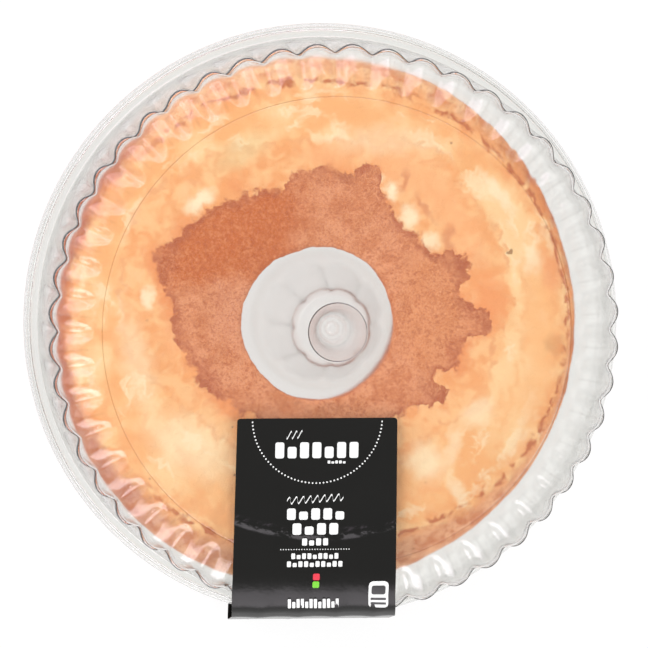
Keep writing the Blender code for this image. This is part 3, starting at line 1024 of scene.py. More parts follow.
@dataclass
class Dome:
    """Clear dome: rim with bead, fluted wall with a step, shoulder, flat top, centre dimple.

    Attributes:
        rim_radius: Outer radius of the rim.
        skirt_bottom: Height of the rim's lower edge.
        top: Height of the flat top.
        sheet: Thickness of the formed sheet.
        rim_top: Height of the rim's flat.
        flare: How far the skirt's lower edge stands out past the lip.
        lip_round: Radius of the rim's outer edge.
        lip_width: Distance from the rim's outer edge to the bead.
        bead_width: Width of the bead on the rim.
        bead_height: Height of the bead.
        wall_foot_radius: Radius of the wall at the rim.
        wall_lift: Height above the rim's flat where the wall starts.
        wall_top_radius: Radius of the wall at its step.
        wall_top: Height of the step.
        wall_flute_depth: Depth of the flutes in the wall.
        step_width: Width of the step under the shoulder.
        step_rise: Height of the shoulder's foot above the step.
        plateau_radius: Radius of the flat top.
        plateau_groove: Depth of the groove round the flat top.
        flutes: How many flutes go round.
        flute_depth: Depth of the flutes in the shoulder.
        flute_soft: How rounded the flutes' valleys are, 0 for a sharp crease.
        flute_start_radius: Radius where the flutes begin.
        flute_run_in: Distance over which they grow to their depth.
        flute_sharp_start: Radius where the round hollows start to turn into flutes.
        flute_sharp_end: Radius where they have turned.
        flute_end_width: Width of a hollow, as a share of half a flute.
        scallop_power: How narrow the valleys are.
        dimple_radius: Radius of the centre dimple at the flat top.
        dimple_bottom_radius: Radius of its floor.
        dimple_depth: Depth of the dimple.
        columns_per_flute: Mesh columns for each flute.
        centre_columns: Mesh columns round the flat top's middle.
        centre_radius: Radius where the middle's mesh begins.
        shoulder: The shoulder, worked out from the rest.
    """

    rim_radius: float
    skirt_bottom: float
    top: float
    sheet: float = 0.0005
    rim_top: float = 0.0102
    flare: float = 0.0004
    lip_round: float = 0.0008
    lip_width: float = 0.0019
    bead_width: float = 0.0016
    bead_height: float = 0.0006
    wall_foot_radius: float = 0.1183
    wall_lift: float = 0.0012
    wall_top_radius: float = 0.1150
    wall_top: float = 0.0722
    wall_flute_depth: float = 0.0034
    step_width: float = 0.0010
    step_rise: float = 0.0009
    plateau_radius: float = 0.0940
    plateau_groove: float = 0.00012
    flutes: int = 48
    flute_depth: float = 0.0028
    flute_soft: float = 0.12
    flute_start_radius: float = 0.0968
    flute_run_in: float = 0.0068
    flute_sharp_start: float = 0.1005
    flute_sharp_end: float = 0.1075
    flute_end_width: float = 0.62
    scallop_power: float = 2.0
    dimple_radius: float = 0.0114
    dimple_bottom_radius: float = 0.0052
    dimple_depth: float = 0.0270
    columns_per_flute: int = 16
    centre_columns: int = 96
    centre_radius: float = 0.0885
    shoulder: Shoulder = field(init=False)

    def __post_init__(self) -> None:
        """Work out the shoulder."""
        self.shoulder = Shoulder(
            self.plateau_radius,
            self.wall_top_radius - self.step_width,
            self.wall_top + self.step_rise,
            self.top,
        )

    def rim_profile(self) -> list[Point]:
        """Return the profile from above the skirt's lower edge to the wall's foot."""
        outer, top = self.rim_radius, self.rim_top
        lip = self.lip_round
        bead_outer = outer - self.lip_width
        points = [(outer - self.flare, top - 2.0 * lip)]
        points += arc((outer - self.flare - lip, top - lip), lip, 0.0, 90.0, 5)
        rows = 8
        for i in range(rows + 1):
            share = i / rows
            rise = self.bead_height * math.sin(math.pi * share) ** 2
            points.append((bead_outer - self.bead_width * share, top + rise))
        foot, fillet = self.wall_foot_radius, 0.0006
        points += arc((foot + fillet, top + fillet), fillet, 270.0, 180.0, 4)
        return points

    def wall_profile(self) -> list[Point]:
        """Return the profile up the wall to just below the shoulder."""
        rows = 9
        low = self.rim_top + self.wall_lift
        points = []
        for i in range(rows):
            share = i / rows
            radius = self.wall_foot_radius + share * (
                self.wall_top_radius - self.wall_foot_radius
            )
            points.append((radius, low + share * (self.wall_top - low)))
        outer, inner = self.wall_top_radius, self.wall_top_radius - self.step_width
        corner = 0.00015
        points.append((outer, self.wall_top))
        points.append((outer - corner, self.wall_top + corner))
        points.append((inner + corner, self.wall_top + 2.0 * corner))
        points.append((inner, self.wall_top + 4.0 * corner))
        return points

    def plateau_profile(self) -> list[Point]:
        """Return the fine groove round the flat top and the start of the flat top."""
        half = 0.0002
        return [
            (self.plateau_radius - half, self.top - self.plateau_groove),
            (self.plateau_radius - 2.0 * half, self.top),
            (self.plateau_radius - 12.0 * half, self.top),
        ]

    def dimple_profile(self) -> list[Point]:
        """Return the flat top's middle, the funnel of the dimple and its small nub."""
        edge = 0.0007
        floor = self.top - self.dimple_depth
        lip = self.dimple_radius + edge
        points = [(self.centre_radius / 2.0, self.top), (lip + edge, self.top)]
        points += arc((lip, self.top - edge), edge, 90.0, 170.0, 4)
        points.append((self.dimple_radius - 0.0022, self.top - 0.0035))
        points.append((self.dimple_bottom_radius + 0.0012, floor + 0.0080))
        points.append((self.dimple_bottom_radius, floor + 0.0010))
        points.append((self.dimple_bottom_radius - 0.0008, floor))
        points.append((0.0030, floor))
        points.append((0.0024, floor + 0.0008))
        points.append((0.0010, floor + 0.0012))
        return points

    def flute_share(self, place: Vector) -> float:
        """Depth share of the flutes at a place on the shoulder."""
        radius = off_axis(place)
        if place.z <= self.shoulder.low + WELD:
            return 0.0
        along = smooth_step((radius - self.flute_start_radius) / self.flute_run_in)
        full = scallop(place, self.flutes, self.scallop_power, self.flute_soft)
        aside = 1.0 - scallop(place, self.flutes, 1.0)
        hollow = 1.0 - smooth_step(aside / self.flute_end_width)
        sharp = smooth_step(
            (radius - self.flute_sharp_start) / (self.flute_sharp_end - self.flute_sharp_start)
        )
        return along * (hollow + (full - hollow) * sharp)

    def wall_shift(self, place: Vector) -> Point:
        """Shift of the fluted wall and its step at a place."""
        low = self.rim_top + self.wall_lift
        radius = off_axis(place)
        if place.z < low or place.z > self.shoulder.low + WELD:
            return 0.0, 0.0
        along = smooth_step((place.z - low) / (self.wall_top - low) * 1.4)
        stepped = place.z > self.wall_top + 0.0002
        depth = self.flute_depth if stepped else self.wall_flute_depth
        depth *= along * scallop(place, self.flutes, self.scallop_power, self.flute_soft)
        return -depth * place.x / radius, -depth * place.y / radius

    def build(self) -> bpy.types.Object:
        """Model the dome as one closed sheet."""
        rings = TurnedForm(
            "dome_skirt",
            (self.rim_radius, self.skirt_bottom),
            self.flutes * self.columns_per_flute,
        )
        rings.follow(self.rim_profile())
        rings.follow(self.wall_profile())
        rings.follow(self.shoulder.points(20))
        rings.follow(self.plateau_profile())
        skirt = rings.finish()
        face_outwards(skirt, top_up=True)
        press(skirt, "flutes", self.flute_share, -self.flute_depth)
        swell(skirt, "wall_flutes", self.wall_shift, self.wall_flute_depth)
        middle = TurnedForm(
            "dome_middle", (self.centre_radius, self.top), self.centre_columns
        )
        middle.follow(self.dimple_profile())
        middle.close_pole()
        piece = join([skirt, middle.finish()], "clear_dome")
        self.join_middle(piece)
        face_outwards(piece, top_up=True)
        thicken(piece, self.sheet)
        return piece

    def join_middle(self, piece: bpy.types.Object) -> None:
        """Fill the flat top between its two open rings."""
        outer = self.plateau_profile()[-1][0]
        take(piece)
        bpy.ops.object.mode_set(mode="EDIT")
        pick(
            piece,
            lambda place: abs(place.z - self.top) < WELD
            and (
                abs(off_axis(place) - outer) < WELD
                or abs(off_axis(place) - self.centre_radius) < WELD
            ),
        )
        bpy.ops.mesh.fill(use_beauty=True)
        bpy.ops.object.mode_set(mode="OBJECT")

    def dress(self) -> bpy.types.Object:
        """Model the dome and give it its finish."""
        piece = self.build()
        # The finish paints shade where the sheet is seen edge-on, along the crease round the flat
        # top, and in the flutes' valleys with a thin line on each crest.
        finish = ClearSheet(
            "clear_dome_sheet", crease_radius=self.plateau_radius, ribs=self.flutes
        )
        mount(piece, "clear_dome", finish.material())
        let_lamps_through(piece)
        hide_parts("dome")
        return piece


@dataclass
class BaseTray:
    """Clear base: petalled centre post, flat floor, low wall, and a flange with a skirt.

    Attributes:
        skirt_radius: Outer radius of its skirt.
        skirt_bottom: Height of the skirt's lower edge.
        post_top: Height of the centre post.
        sheet: Thickness of the formed sheet.
        flange_top: Height of the flange.
        flange_inset: How far the flange's edge stands in from the skirt's lower edge.
        wall_radius: Radius of the low wall at the flange.
        floor_radius: Radius of the flat floor.
        petals: How many petals the post has.
        petal_depth: Depth of the creases between them.
        petal_power: How narrow the creases are.
        post_top_radius: Radius of the post's top.
        post_shoulder_radius: Radius of the post just below its top.
        post_foot_radius: Radius of the post at the floor.
        columns_per_petal: Mesh columns for each petal.
    """

    skirt_radius: float
    skirt_bottom: float
    post_top: float
    sheet: float = 0.0005
    flange_top: float = 0.0090
    flange_inset: float = 0.0004
    wall_radius: float = 0.1160
    floor_radius: float = 0.1100
    petals: int = 8
    petal_depth: float = 0.0016
    petal_power: float = 4.0
    post_top_radius: float = 0.0130
    post_shoulder_radius: float = 0.0160
    post_foot_radius: float = 0.0265
    columns_per_petal: int = 28

    def profile(self) -> list[Point]:
        """Return the profile of the upper face, from the skirt to the post's top."""
        edge = 0.0006
        outer, flange = self.skirt_radius - self.flange_inset, self.flange_top
        points = [(outer, flange - 3.0 * edge)]
        points += arc((outer - edge, flange - edge), edge, 0.0, 90.0, 3)
        points += arc((self.wall_radius + edge, flange - edge), edge, 90.0, 180.0, 3)
        low = self.sheet + 4.0 * edge
        points.append((self.floor_radius + 4.5 * edge, low + 2.0 * edge))
        points += arc((self.floor_radius, low), 4.0 * edge, 0.0, -90.0, 5)
        points += [(0.1060, self.sheet), (0.0800, self.sheet), (0.0500, self.sheet)]
        foot = self.post_foot_radius
        points += [(foot + 0.0030, self.sheet), (foot + 0.0012, self.sheet + 0.0004)]
        top, shoulder = self.post_top, self.post_shoulder_radius
        points.append((foot, self.sheet + 0.0016))
        for i in range(1, 9):
            share = i / 9.0
            height = self.sheet + (top - 0.0075 - self.sheet) * share
            points.append((foot + (shoulder - foot) * share, height))
        round_radius = 0.0045
        points += arc(
            (self.post_top_radius - 0.0010, top - round_radius), round_radius, 12.0, 90.0, 6
        )
        points += [(0.0060, top)]
        return points

    def petal_share(self, place: Vector) -> float:
        """Depth share of the creases between the post's petals."""
        radius = off_axis(place)
        if radius > self.post_foot_radius + 0.0004 or radius < self.post_top_radius - 0.0010:
            return 0.0
        run_in = smooth_step((self.post_top - place.z) / 0.0060)
        run_out = smooth_step((place.z - self.sheet) / 0.0040)
        return run_in * run_out * scallop(place, self.petals, self.petal_power)

    def build(self) -> bpy.types.Object:
        """Model the tray as one closed sheet."""
        rings = TurnedForm(
            "clear_base",
            (self.skirt_radius, self.skirt_bottom),
            self.petals * self.columns_per_petal,
        )
        rings.follow(self.profile())
        rings.close_pole()
        piece = rings.finish()
        face_outwards(piece, top_up=True)
        press(piece, "petals", self.petal_share, -self.petal_depth)
        thicken(piece, self.sheet)
        return piece

    def dress(self) -> bpy.types.Object:
        """Model the tray and give it its finish."""
        piece = self.build()
        # The finish paints shade where the sheet is seen edge-on.
        finish = ClearSheet(
            "clear_base_sheet", haze=0.03, haze_radius=self.post_foot_radius, roughness=0.10
        )
        mount(piece, "clear_base", finish.material())
        let_lamps_through(piece)
        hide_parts("base_tray")
        return piece


@dataclass
class RingCake:
    """The sponge ring: uneven domed top, round browned edge and a hole that opens downwards.

    Attributes:
        centre: The ring's axis.
        bottom: Height of its underside.
        top: Height of its top.
        side_radius: Outer radius.
        foot_radius: Radius of the underside.
        bulge_radius: Radius where the side bulges most.
        bulge_height: Height of the bulge.
        hole_top_radius: Radius of the hole at the top.
        hole_foot_radius: Radius of the hole at the underside.
        outer_round: Radius of the top's outer edge.
        inner_round: Radius of the hole's upper edge.
        growth_limit: The furthest that the outline stands off the round ring.
        sag: How far the top's front edge is rounded off further.
        columns: Mesh columns round the ring.
    """

    centre: Vector
    bottom: float
    top: float
    side_radius: float
    foot_radius: float = 0.1022
    bulge_radius: float = 0.1058
    bulge_height: float = 0.0200
    hole_top_radius: float = 0.0304
    hole_foot_radius: float = 0.0380
    outer_round: float = 0.0120
    inner_round: float = 0.0020
    growth_limit: float = 0.0050
    sag: float = 0.0060
    columns: int = 288

    # The side's radius by direction, in degrees from +X and metres.
    OUTLINE = (
        (-180, 0.1032), (-154, 0.1056), (-145, 0.1066), (-130, 0.1082), (-115, 0.1086),
        (-90, 0.1080), (-70, 0.1074), (-60, 0.1064), (-30, 0.1064), (0, 0.1056),
        (15, 0.1056), (30, 0.1054), (60, 0.1066), (90, 0.1055), (110, 0.1046), (120, 0.1036),
        (140, 0.1030), (150, 0.1024), (180, 0.1032),
    )  # fmt: skip

    def profile(self) -> list[Point]:
        """Return the cross-section from the foot, up the side, over the top and down the hole."""
        foot_round = 0.0030
        side, top = self.side_radius, self.top
        points = arc(
            (self.foot_radius - foot_round, self.bottom + foot_round), foot_round, -60.0, 0.0, 3
        )
        low, high = points[-1][1], top - 0.0030 - self.outer_round
        rows = 14
        for i in range(1, rows):
            height = low + (high - low) * i / rows
            if height < self.bulge_height:
                turn = (height - low) / (self.bulge_height - low) * math.pi / 2.0
                radius = self.foot_radius + (self.bulge_radius - self.foot_radius) * math.sin(turn)
            else:
                share = smooth_step((height - self.bulge_height) / (high - self.bulge_height))
                radius = self.bulge_radius + (side - self.bulge_radius) * share
            points.append((radius, height))
        points += arc((side - self.outer_round, high), self.outer_round, 0.0, 78.0, 9)
        start, height = points[-1]
        inner = self.hole_top_radius + self.inner_round
        rows = 30
        for i in range(1, rows):
            share = i / rows
            radius = start + (inner - start) * share
            crown = (top - height) * math.sin(math.pi / 2.0 * min(share * 2.2, 1.0))
            sink = 0.0012 * smooth_step((share - 0.75) / 0.25)
            points.append((radius, height + crown - sink))
        rim = (inner, top - 0.0012 - self.inner_round)
        points += arc(rim, self.inner_round, 90.0, 180.0, 4)
        rows = 10
        for i in range(1, rows + 1):
            share = i / rows
            radius = self.hole_top_radius + (self.hole_foot_radius - self.hole_top_radius) * share
            points.append((radius, rim[1] + (self.bottom - rim[1]) * share))
        return points

    def sag_share(self, place: Vector) -> float:
        """Share by which the top's front edge is rounded off further than the rest."""
        around = place - self.centre
        radius = off_axis(around)
        towards = math.cos(math.atan2(around.y, around.x) + math.radians(80.0))
        if towards <= 0.0 or place.z < self.top * 0.5:
            return 0.0
        return towards**2 * smooth_step((radius - 0.086) / 0.016)

    def growth(self, place: Vector) -> Point:
        """Shift that brings the round ring out to its outline."""
        around = place - self.centre
        turn = math.atan2(around.y, around.x)
        angle = math.degrees(turn)
        for (low, low_radius), (high, high_radius) in zip(self.OUTLINE, self.OUTLINE[1:]):
            if low <= angle <= high:
                share = smooth_step((angle - low) / (high - low))
                radius = low_radius + (high_radius - low_radius) * share
                break
        reach = smooth_step((math.hypot(around.x, around.y) - 0.045) / 0.040)
        reach *= 0.5 + 0.5 * smooth_step((place.z - self.bottom) / self.bulge_height)
        grown = (radius - self.side_radius) * reach
        return grown * math.cos(turn), grown * math.sin(turn)

    def top_share(self, place: Vector) -> float:
        """Share of relief: full on the top, less down the sides, none at the foot."""
        return smooth_step((place.z - self.bottom) / 0.01) * (
            0.5 + 0.5 * smooth_step((place.z - self.top * 0.7) / (self.top * 0.2))
        )

    def build(self) -> bpy.types.Object:
        """Model the ring and give it its baked relief."""
        start = (self.foot_radius - 0.0020, self.bottom)
        rings = TurnedForm("ring_cake", start, self.columns, tuple(self.centre.xy))
        rings.follow(self.profile())
        rings.close_round()
        piece = rings.finish()
        face_outwards(piece)
        swell(piece, "outline", self.growth, self.growth_limit)
        press(piece, "sag", self.sag_share, -self.sag, direction="Z")
        roughen(piece, 0.030, 0.0026, self.top_share)
        apply_modifier(piece, "SUBSURF", levels=1, render_levels=1)
        roughen(piece, 0.0065, 0.0011, self.top_share)
        roughen(piece, 0.0016, 0.0004, self.top_share, depth=1)
        smooth(piece, 60.0)
        return piece

    def dress(self) -> bpy.types.Object:
        """Model the ring and give it its finish."""
        piece = self.build()
        mount(piece, "sponge", Sponge(self.centre).material())
        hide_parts("cake")
        return piece


# ---------------------------------------------------------------- label


@dataclass
class LabelPath:
    """The line that the label follows: flat top, shoulder, taut down to the rim, and a tuck.

    Attributes:
        dome: The dome under it.
        top_y: Place of the label's top edge.
        foot_height: Height of its lowest point.
        off: Gap between the dome and the film.
        tuck: How far the film runs in under the rim.
        bends: Steps over the shoulder.
        last_turn: Turn of the shoulder, in degrees, where the film leaves it.
        points: The line's places, worked out.
        marks: Each place's distance from the top edge, worked out.
    """

    dome: Dome
    top_y: float
    foot_height: float
    off: float = 0.00012
    tuck: float = 0.0060
    bends: int = 20
    last_turn: float = 70.0
    points: list[Point] = field(init=False)
    marks: list[float] = field(init=False)

    def __post_init__(self) -> None:
        """Lay out the line as (y, z) points with their distance from the top edge."""
        dome = self.dome
        rim = dome.rim_radius + self.off
        line = [(self.top_y, dome.top + self.off)]
        for i in range(self.bends + 1):
            turn = math.radians(self.last_turn) * i / self.bends
            radius, height = dome.shoulder.point(turn)
            line.append((-radius - self.off * math.sin(turn), height + self.off))
        line.append((-dome.wall_top_radius - 0.0003, dome.wall_top + 0.0006))
        line.append((-rim + 0.0003, dome.rim_top + dome.wall_lift))
        line.append((-rim, dome.rim_top - 0.0006))
        line.append((-rim, self.foot_height + 0.0006))
        line.append((-rim + 0.0006, self.foot_height))
        line.append((-rim + self.tuck, self.foot_height))
        self.points = line
        self.marks = [0.0]
        for (y0, z0), (y1, z1) in zip(line, line[1:]):
            self.marks.append(self.marks[-1] + math.hypot(y1 - y0, z1 - z0))

    @property
    def length(self) -> float:
        """Whole length of the line."""
        return self.marks[-1]

    def at(self, along: float) -> tuple[Vector, Vector]:
        """Return the place and outward normal at a distance from the top edge, at x = 0."""
        along = min(max(along, 0.0), self.length)
        index = 0
        while index < len(self.marks) - 2 and self.marks[index + 1] < along:
            index += 1
        span = self.marks[index + 1] - self.marks[index]
        share = (along - self.marks[index]) / span
        start = Vector((0.0, *self.points[index]))
        end = Vector((0.0, *self.points[index + 1]))
        way = (end - start).normalized()
        return start.lerp(end, share), Vector((0.0, way.z, -way.y))


@dataclass
class Label:
    """Black film label: one strip that bends over the shoulder and tucks under the rim.

    Attributes:
        path: The line it follows.
        top_width: Width at the top edge.
        foot_width: Width at the foot.
        top_centre: Sideways place of its middle at the top edge.
        shoulder_centre: The same on the shoulder.
        foot_centre: The same at the foot.
        corner: Radius of its corners.
        film: Its thickness.
        flute_sink: How far it sinks into the flutes.
        crease_grain: Size of its creases.
        crease_height: Height of its creases.
        columns: Mesh columns across it.
        row_length: Length of a mesh row.
    """

    path: LabelPath
    top_width: float = 0.0642
    foot_width: float = 0.0678
    top_centre: float = -0.0082
    shoulder_centre: float = -0.0096
    foot_centre: float = -0.0052
    corner: float = 0.0022
    film: float = 0.00012
    flute_sink: float = 0.0004
    crease_grain: float = 0.016
    crease_height: float = 0.0002
    columns: int = 44
    row_length: float = 0.0013

    def middle(self, along: float) -> float:
        """Sideways place of the label's middle at a distance from its top edge."""
        turn = self.path.marks[self.path.bends // 2 + 1]
        if along <= turn:
            return self.top_centre + (self.shoulder_centre - self.top_centre) * along / turn
        share = (along - turn) / (self.path.length - turn)
        return self.shoulder_centre + (self.foot_centre - self.shoulder_centre) * share

    def width(self, along: float) -> float:
        """Width at a distance from the top edge."""
        share = along / self.path.length
        return self.top_width + (self.foot_width - self.top_width) * share

    def crease_share(self, place: Vector) -> float:
        """Share of the film's creases: none on the flat top, full on the shoulder."""
        return smooth_step((-place.y - 0.080) / 0.020) * smooth_step((place.z - 0.012) / 0.02)

    def sink_share(self, place: Vector) -> float:
        """Share by which the film sinks into the flutes between their crests."""
        along = smooth_step((-place.y - 0.101) / 0.012) * smooth_step((place.z - 0.014) / 0.02)
        return along * scallop(place, self.path.dome.flutes, 2.0)

    def build(self) -> bpy.types.Object:
        """Model the film strip row by row down its path."""
        path = self.path
        clear_selection()
        bpy.ops.mesh.primitive_grid_add(x_subdivisions=self.columns, y_subdivisions=1, size=1.0)
        piece = bpy.context.object
        start, _ = path.at(0.0)
        bpy.ops.transform.resize(value=(self.top_width, self.row_length, 1.0))
        bpy.ops.transform.translate(
            value=(self.top_centre, start.y - self.row_length / 2.0, start.z)
        )
        settle(piece, "label_film")
        bpy.ops.object.mode_set(mode="EDIT")
        lower = start.y - self.row_length
        pick(piece, lambda place: place.y < lower + WELD)
        bpy.ops.mesh.select_mode(type="EDGE")
        along = self.row_length
        while along < path.length - WELD:
            following = min(along + self.row_length, path.length)
            here, _ = path.at(along)
            there, _ = path.at(following)
            lean = self.middle(following) - self.middle(along)
            step = (lean, there.y - here.y, there.z - here.z)
            bpy.ops.mesh.extrude_region_move(TRANSFORM_OT_translate={"value": step})
            ratio = self.width(following) / self.width(along)
            centre = (self.middle(following), there.y, there.z)
            bpy.ops.transform.resize(value=(ratio, 1.0, 1.0), center_override=centre)
            along = following
        reach = self.top_width / 2.0 - WELD
        pick(
            piece,
            lambda place: place.y > start.y - WELD
            and abs(place.x - self.top_centre) > reach,
        )
        bpy.ops.mesh.bevel(
            offset=self.corner, offset_type="OFFSET", segments=5, affect="VERTICES"
        )
        bpy.ops.object.mode_set(mode="OBJECT")
        face_outwards(piece, top_up=True)
        self.shape(piece)
        apply_modifier(piece, "SOLIDIFY", thickness=self.film, offset=1.0)
        smooth(piece, 60.0)
        return piece

    def shape(self, piece: bpy.types.Object) -> None:
        """Sink a flat-sided piece of film or print into the flutes and crease it."""
        press(piece, "flutes", self.sink_share, -self.flute_sink)
        roughen(piece, self.crease_grain, self.crease_height, self.crease_share)

    def dress(self) -> bpy.types.Object:
        """Model the label and give it its finish."""
        piece = self.build()
        mount(piece, "label_film", PrintFilm().material())
        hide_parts("label")
        return piece


class Mark(Enum):
    """Plain shapes that the print is made of."""

    BLOCK = 4
    DISC = 24


@dataclass
class Print:
    """Plain printed shapes on the label, in ink a hair above the film.

    Attributes:
        label: The label under them.
        lift: Height of each layer of ink above the last.
        row: Longest side of a mesh face where the label bends.
        corner: Radius of a block's corners, as a share of its shorter side.
        stroke: Width of a flourish's ribbon, in millimetres.
        climb: How steeply a flourish climbs to the right.
        slant: How far a flourish leans, as a share of its height.
        cuts_per_hump: Mesh columns for each hump of a flourish.
        low_block: Height of a row's lower blocks, as a share of the others'.
        marks: Shapes stamped so far and not yet laid.
    """

    label: Label
    lift: float = 0.00008
    row: float = 0.0009
    corner: float = 0.22
    stroke: float = 0.62
    climb: float = 0.06
    slant: float = 0.3
    cuts_per_hump: int = 14
    low_block: float = 0.72
    marks: list[bpy.types.Object] = field(default_factory=list)

    def stamp(
        self, shape: Mark, across: float, along: float, width: float, height: float
    ) -> bpy.types.Object:
        """Add one flat shape on the drawing board.

        Args:
            shape: What it is.
            across: Millimetres right of the label's middle.
            along: Millimetres down from the label's top edge.
            width: Width in millimetres.
            height: Height in millimetres.

        Returns:
            The shape, still flat: x is across and -y is along.
        """
        clear_selection()
        place = (across * MILLIMETRE, -along * MILLIMETRE, 0.0)
        if shape is Mark.DISC:
            bpy.ops.mesh.primitive_circle_add(
                vertices=shape.value, radius=0.5, fill_type="NGON", location=place
            )
        else:
            bpy.ops.mesh.primitive_plane_add(size=1.0, location=place)
        mark = bpy.context.object
        mark.scale = (width * MILLIMETRE, height * MILLIMETRE, 1.0)
        settle(mark, "mark")
        if shape is Mark.BLOCK:
            self.round_corners(mark, min(width, height) * self.corner * MILLIMETRE)
        self.marks.append(mark)
        return mark

    def round_corners(self, mark: bpy.types.Object, radius: float) -> None:
        """Round a block's corners."""
        bpy.ops.object.mode_set(mode="EDIT")
        bpy.ops.mesh.select_all(action="SELECT")
        bpy.ops.mesh.bevel(offset=radius, segments=3, affect="VERTICES")
        bpy.ops.object.mode_set(mode="OBJECT")

    def lay(self, name: str, ink: bpy.types.Material, layer: int = 1) -> None:
        """Join the stamped shapes, lay them on the label and ink them, one layer over another."""
        piece = join(self.marks, name)
        self.marks = []
        self.cut_rows(piece)
        height = self.label.film + self.lift * layer
        for vertex in piece.data.vertices:
            across, along = vertex.co.x, -vertex.co.y
            place, normal = self.label.path.at(along)
            place += normal * self.lift
            vertex.co = (self.label.middle(along) + across, place.y, place.z)
        self.label.shape(piece)
        apply_modifier(piece, "DISPLACE", mid_level=0.0, strength=height)
        mount(piece, "label_film", ink)

    def cut_rows(self, piece: bpy.types.Object) -> None:
        """Cut flat shapes into rows where the label bends under them, and into columns."""
        take(piece)
        low = min(vertex.co.y for vertex in piece.data.vertices)
        left = min(vertex.co.x for vertex in piece.data.vertices)
        right = max(vertex.co.x for vertex in piece.data.vertices)
        bend = -self.label.path.marks[1]
        if low > bend:
            return
        bpy.ops.object.mode_set(mode="EDIT")
        for i in range(1, math.ceil((bend - low) / self.row) + 1):
            place = (0.0, bend - (i - 1) * self.row, 0.0)
            bpy.ops.mesh.select_all(action="SELECT")
            bpy.ops.mesh.bisect(plane_co=place, plane_no=(0.0, 1.0, 0.0))
        for i in range(1, math.ceil((right - left) / self.row)):
            place = (left + i * self.row, 0.0, 0.0)
            bpy.ops.mesh.select_all(action="SELECT")
            bpy.ops.mesh.bisect(plane_co=place, plane_no=(1.0, 0.0, 0.0))
        bpy.ops.object.mode_set(mode="OBJECT")

    def dotted_arc(self) -> None:
        """Stamp the half ring of dots that hangs from the label's top edge."""
        radius, pitch, size = 26.0, 1.45, 0.66
        steps = round(math.pi * radius / pitch)
        for i in range(1, steps):
            angle = math.pi * i / steps
            self.stamp(
                Mark.DISC, radius * math.cos(angle), radius * math.sin(angle), size, size
            )

    def dotted_line(self, along: float, width: float) -> None:
        """Stamp a row of dots."""
        pitch, size = 1.05, 0.46
        steps = round(width / pitch)
        for i in range(steps + 1):
            self.stamp(Mark.DISC, (i / steps - 0.5) * width, along, size, size)

    def wave(self, across: float, along: float, width: float, height: float, humps: int) -> None:
        """Stamp a flourish: one thin ribbon that swings up and down and climbs to the right."""
        clear_selection()
        columns = humps * self.cuts_per_hump
        bpy.ops.mesh.primitive_grid_add(x_subdivisions=columns, y_subdivisions=1, size=1.0)
        mark = bpy.context.object
        mark.scale = (width * MILLIMETRE, self.stroke * MILLIMETRE, 1.0)
        settle(mark, "mark")
        span = width * MILLIMETRE

        def swing(place: Vector) -> float:
            """Share of the ribbon's height at a place."""
            return 0.5 + 0.5 * math.sin(FULL_TURN * humps * place.x / span)

        press(mark, "swing", swing, height * MILLIMETRE, direction="Y")
        press(mark, "slant", swing, self.slant * height * MILLIMETRE, direction="X")
        take(mark)
        turn = -math.atan(self.climb)
        bpy.ops.transform.rotate(value=turn, orient_axis="Z", center_override=(0.0, 0.0, 0.0))
        low = -(along + 0.5 * height) * MILLIMETRE
        bpy.ops.transform.translate(value=(across * MILLIMETRE, low, 0.0))
        settle(mark, "mark")
        self.marks.append(mark)

    def row_of_blocks(
        self,
        along: float,
        width: float,
        height: float,
        count: int,
        fill: float = 0.72,
        across: float = 0.0,
    ) -> None:
        """Stamp a row of plain blocks, every third one lower, in place of a printed line."""
        pitch = width / count
        for i in range(count):
            tall = height * (self.low_block if i % 3 == 1 else 1.0)
            place = across + (i + 0.5) * pitch - width / 2.0
            self.stamp(Mark.BLOCK, place, along + (height - tall) / 2.0, pitch * fill, tall)

    def dress(self) -> None:
        """Stamp every shape and ink it."""
        white = Ink("white_ink", (0.86, 0.86, 0.85)).material()
        self.dotted_arc()
        self.lay("print_dots", white)
        self.row_of_blocks(12.8, 34.7, 6.4, 7)
        self.row_of_blocks(17.6, 7.6, 1.2, 5, across=8.0)
        self.lay("print_head", white)
        self.wave(-9.4, 6.6, 6.4, 2.8, 3)
        self.wave(-0.6, 32.4, 22.6, 2.6, 8)
        self.lay("print_waves", white)
        self.row_of_blocks(38.4, 24.3, 4.6, 5)
        self.row_of_blocks(44.4, 19.7, 4.6, 4)
        self.row_of_blocks(49.6, 11.2, 2.9, 4)
        self.dotted_line(52.6, 27.4)
        self.row_of_blocks(55.3, 19.5, 2.3, 9)
        self.row_of_blocks(58.5, 22.9, 2.3, 10)
        self.lay("print_rows", white)
        self.row_of_blocks(75.2, 21.0, 4.6, 12, across=-0.2)
        self.stamp(Mark.BLOCK, 26.0, 71.6, 8.0, 12.0)
        self.lay("print_foot", white, layer=5)
        self.stamp(Mark.BLOCK, 0.8, 63.7, 2.7, 2.7)
        self.lay("print_red", Ink("red_ink", (0.75, 0.03, 0.06)).material())
        self.stamp(Mark.BLOCK, 0.7, 66.9, 2.7, 2.7)
        self.lay("print_green", Ink("green_ink", (0.17, 0.60, 0.02)).material())
        for along, width, height in ((69.3, 5.6, 3.8), (73.2, 6.2, 1.1), (75.4, 6.2, 1.1)):
            self.stamp(Mark.BLOCK, 26.0, along, width, height)
        self.lay("print_black", Ink("black_ink", (0.012, 0.012, 0.012)).material(), layer=6)


# ---------------------------------------------------------------- studio


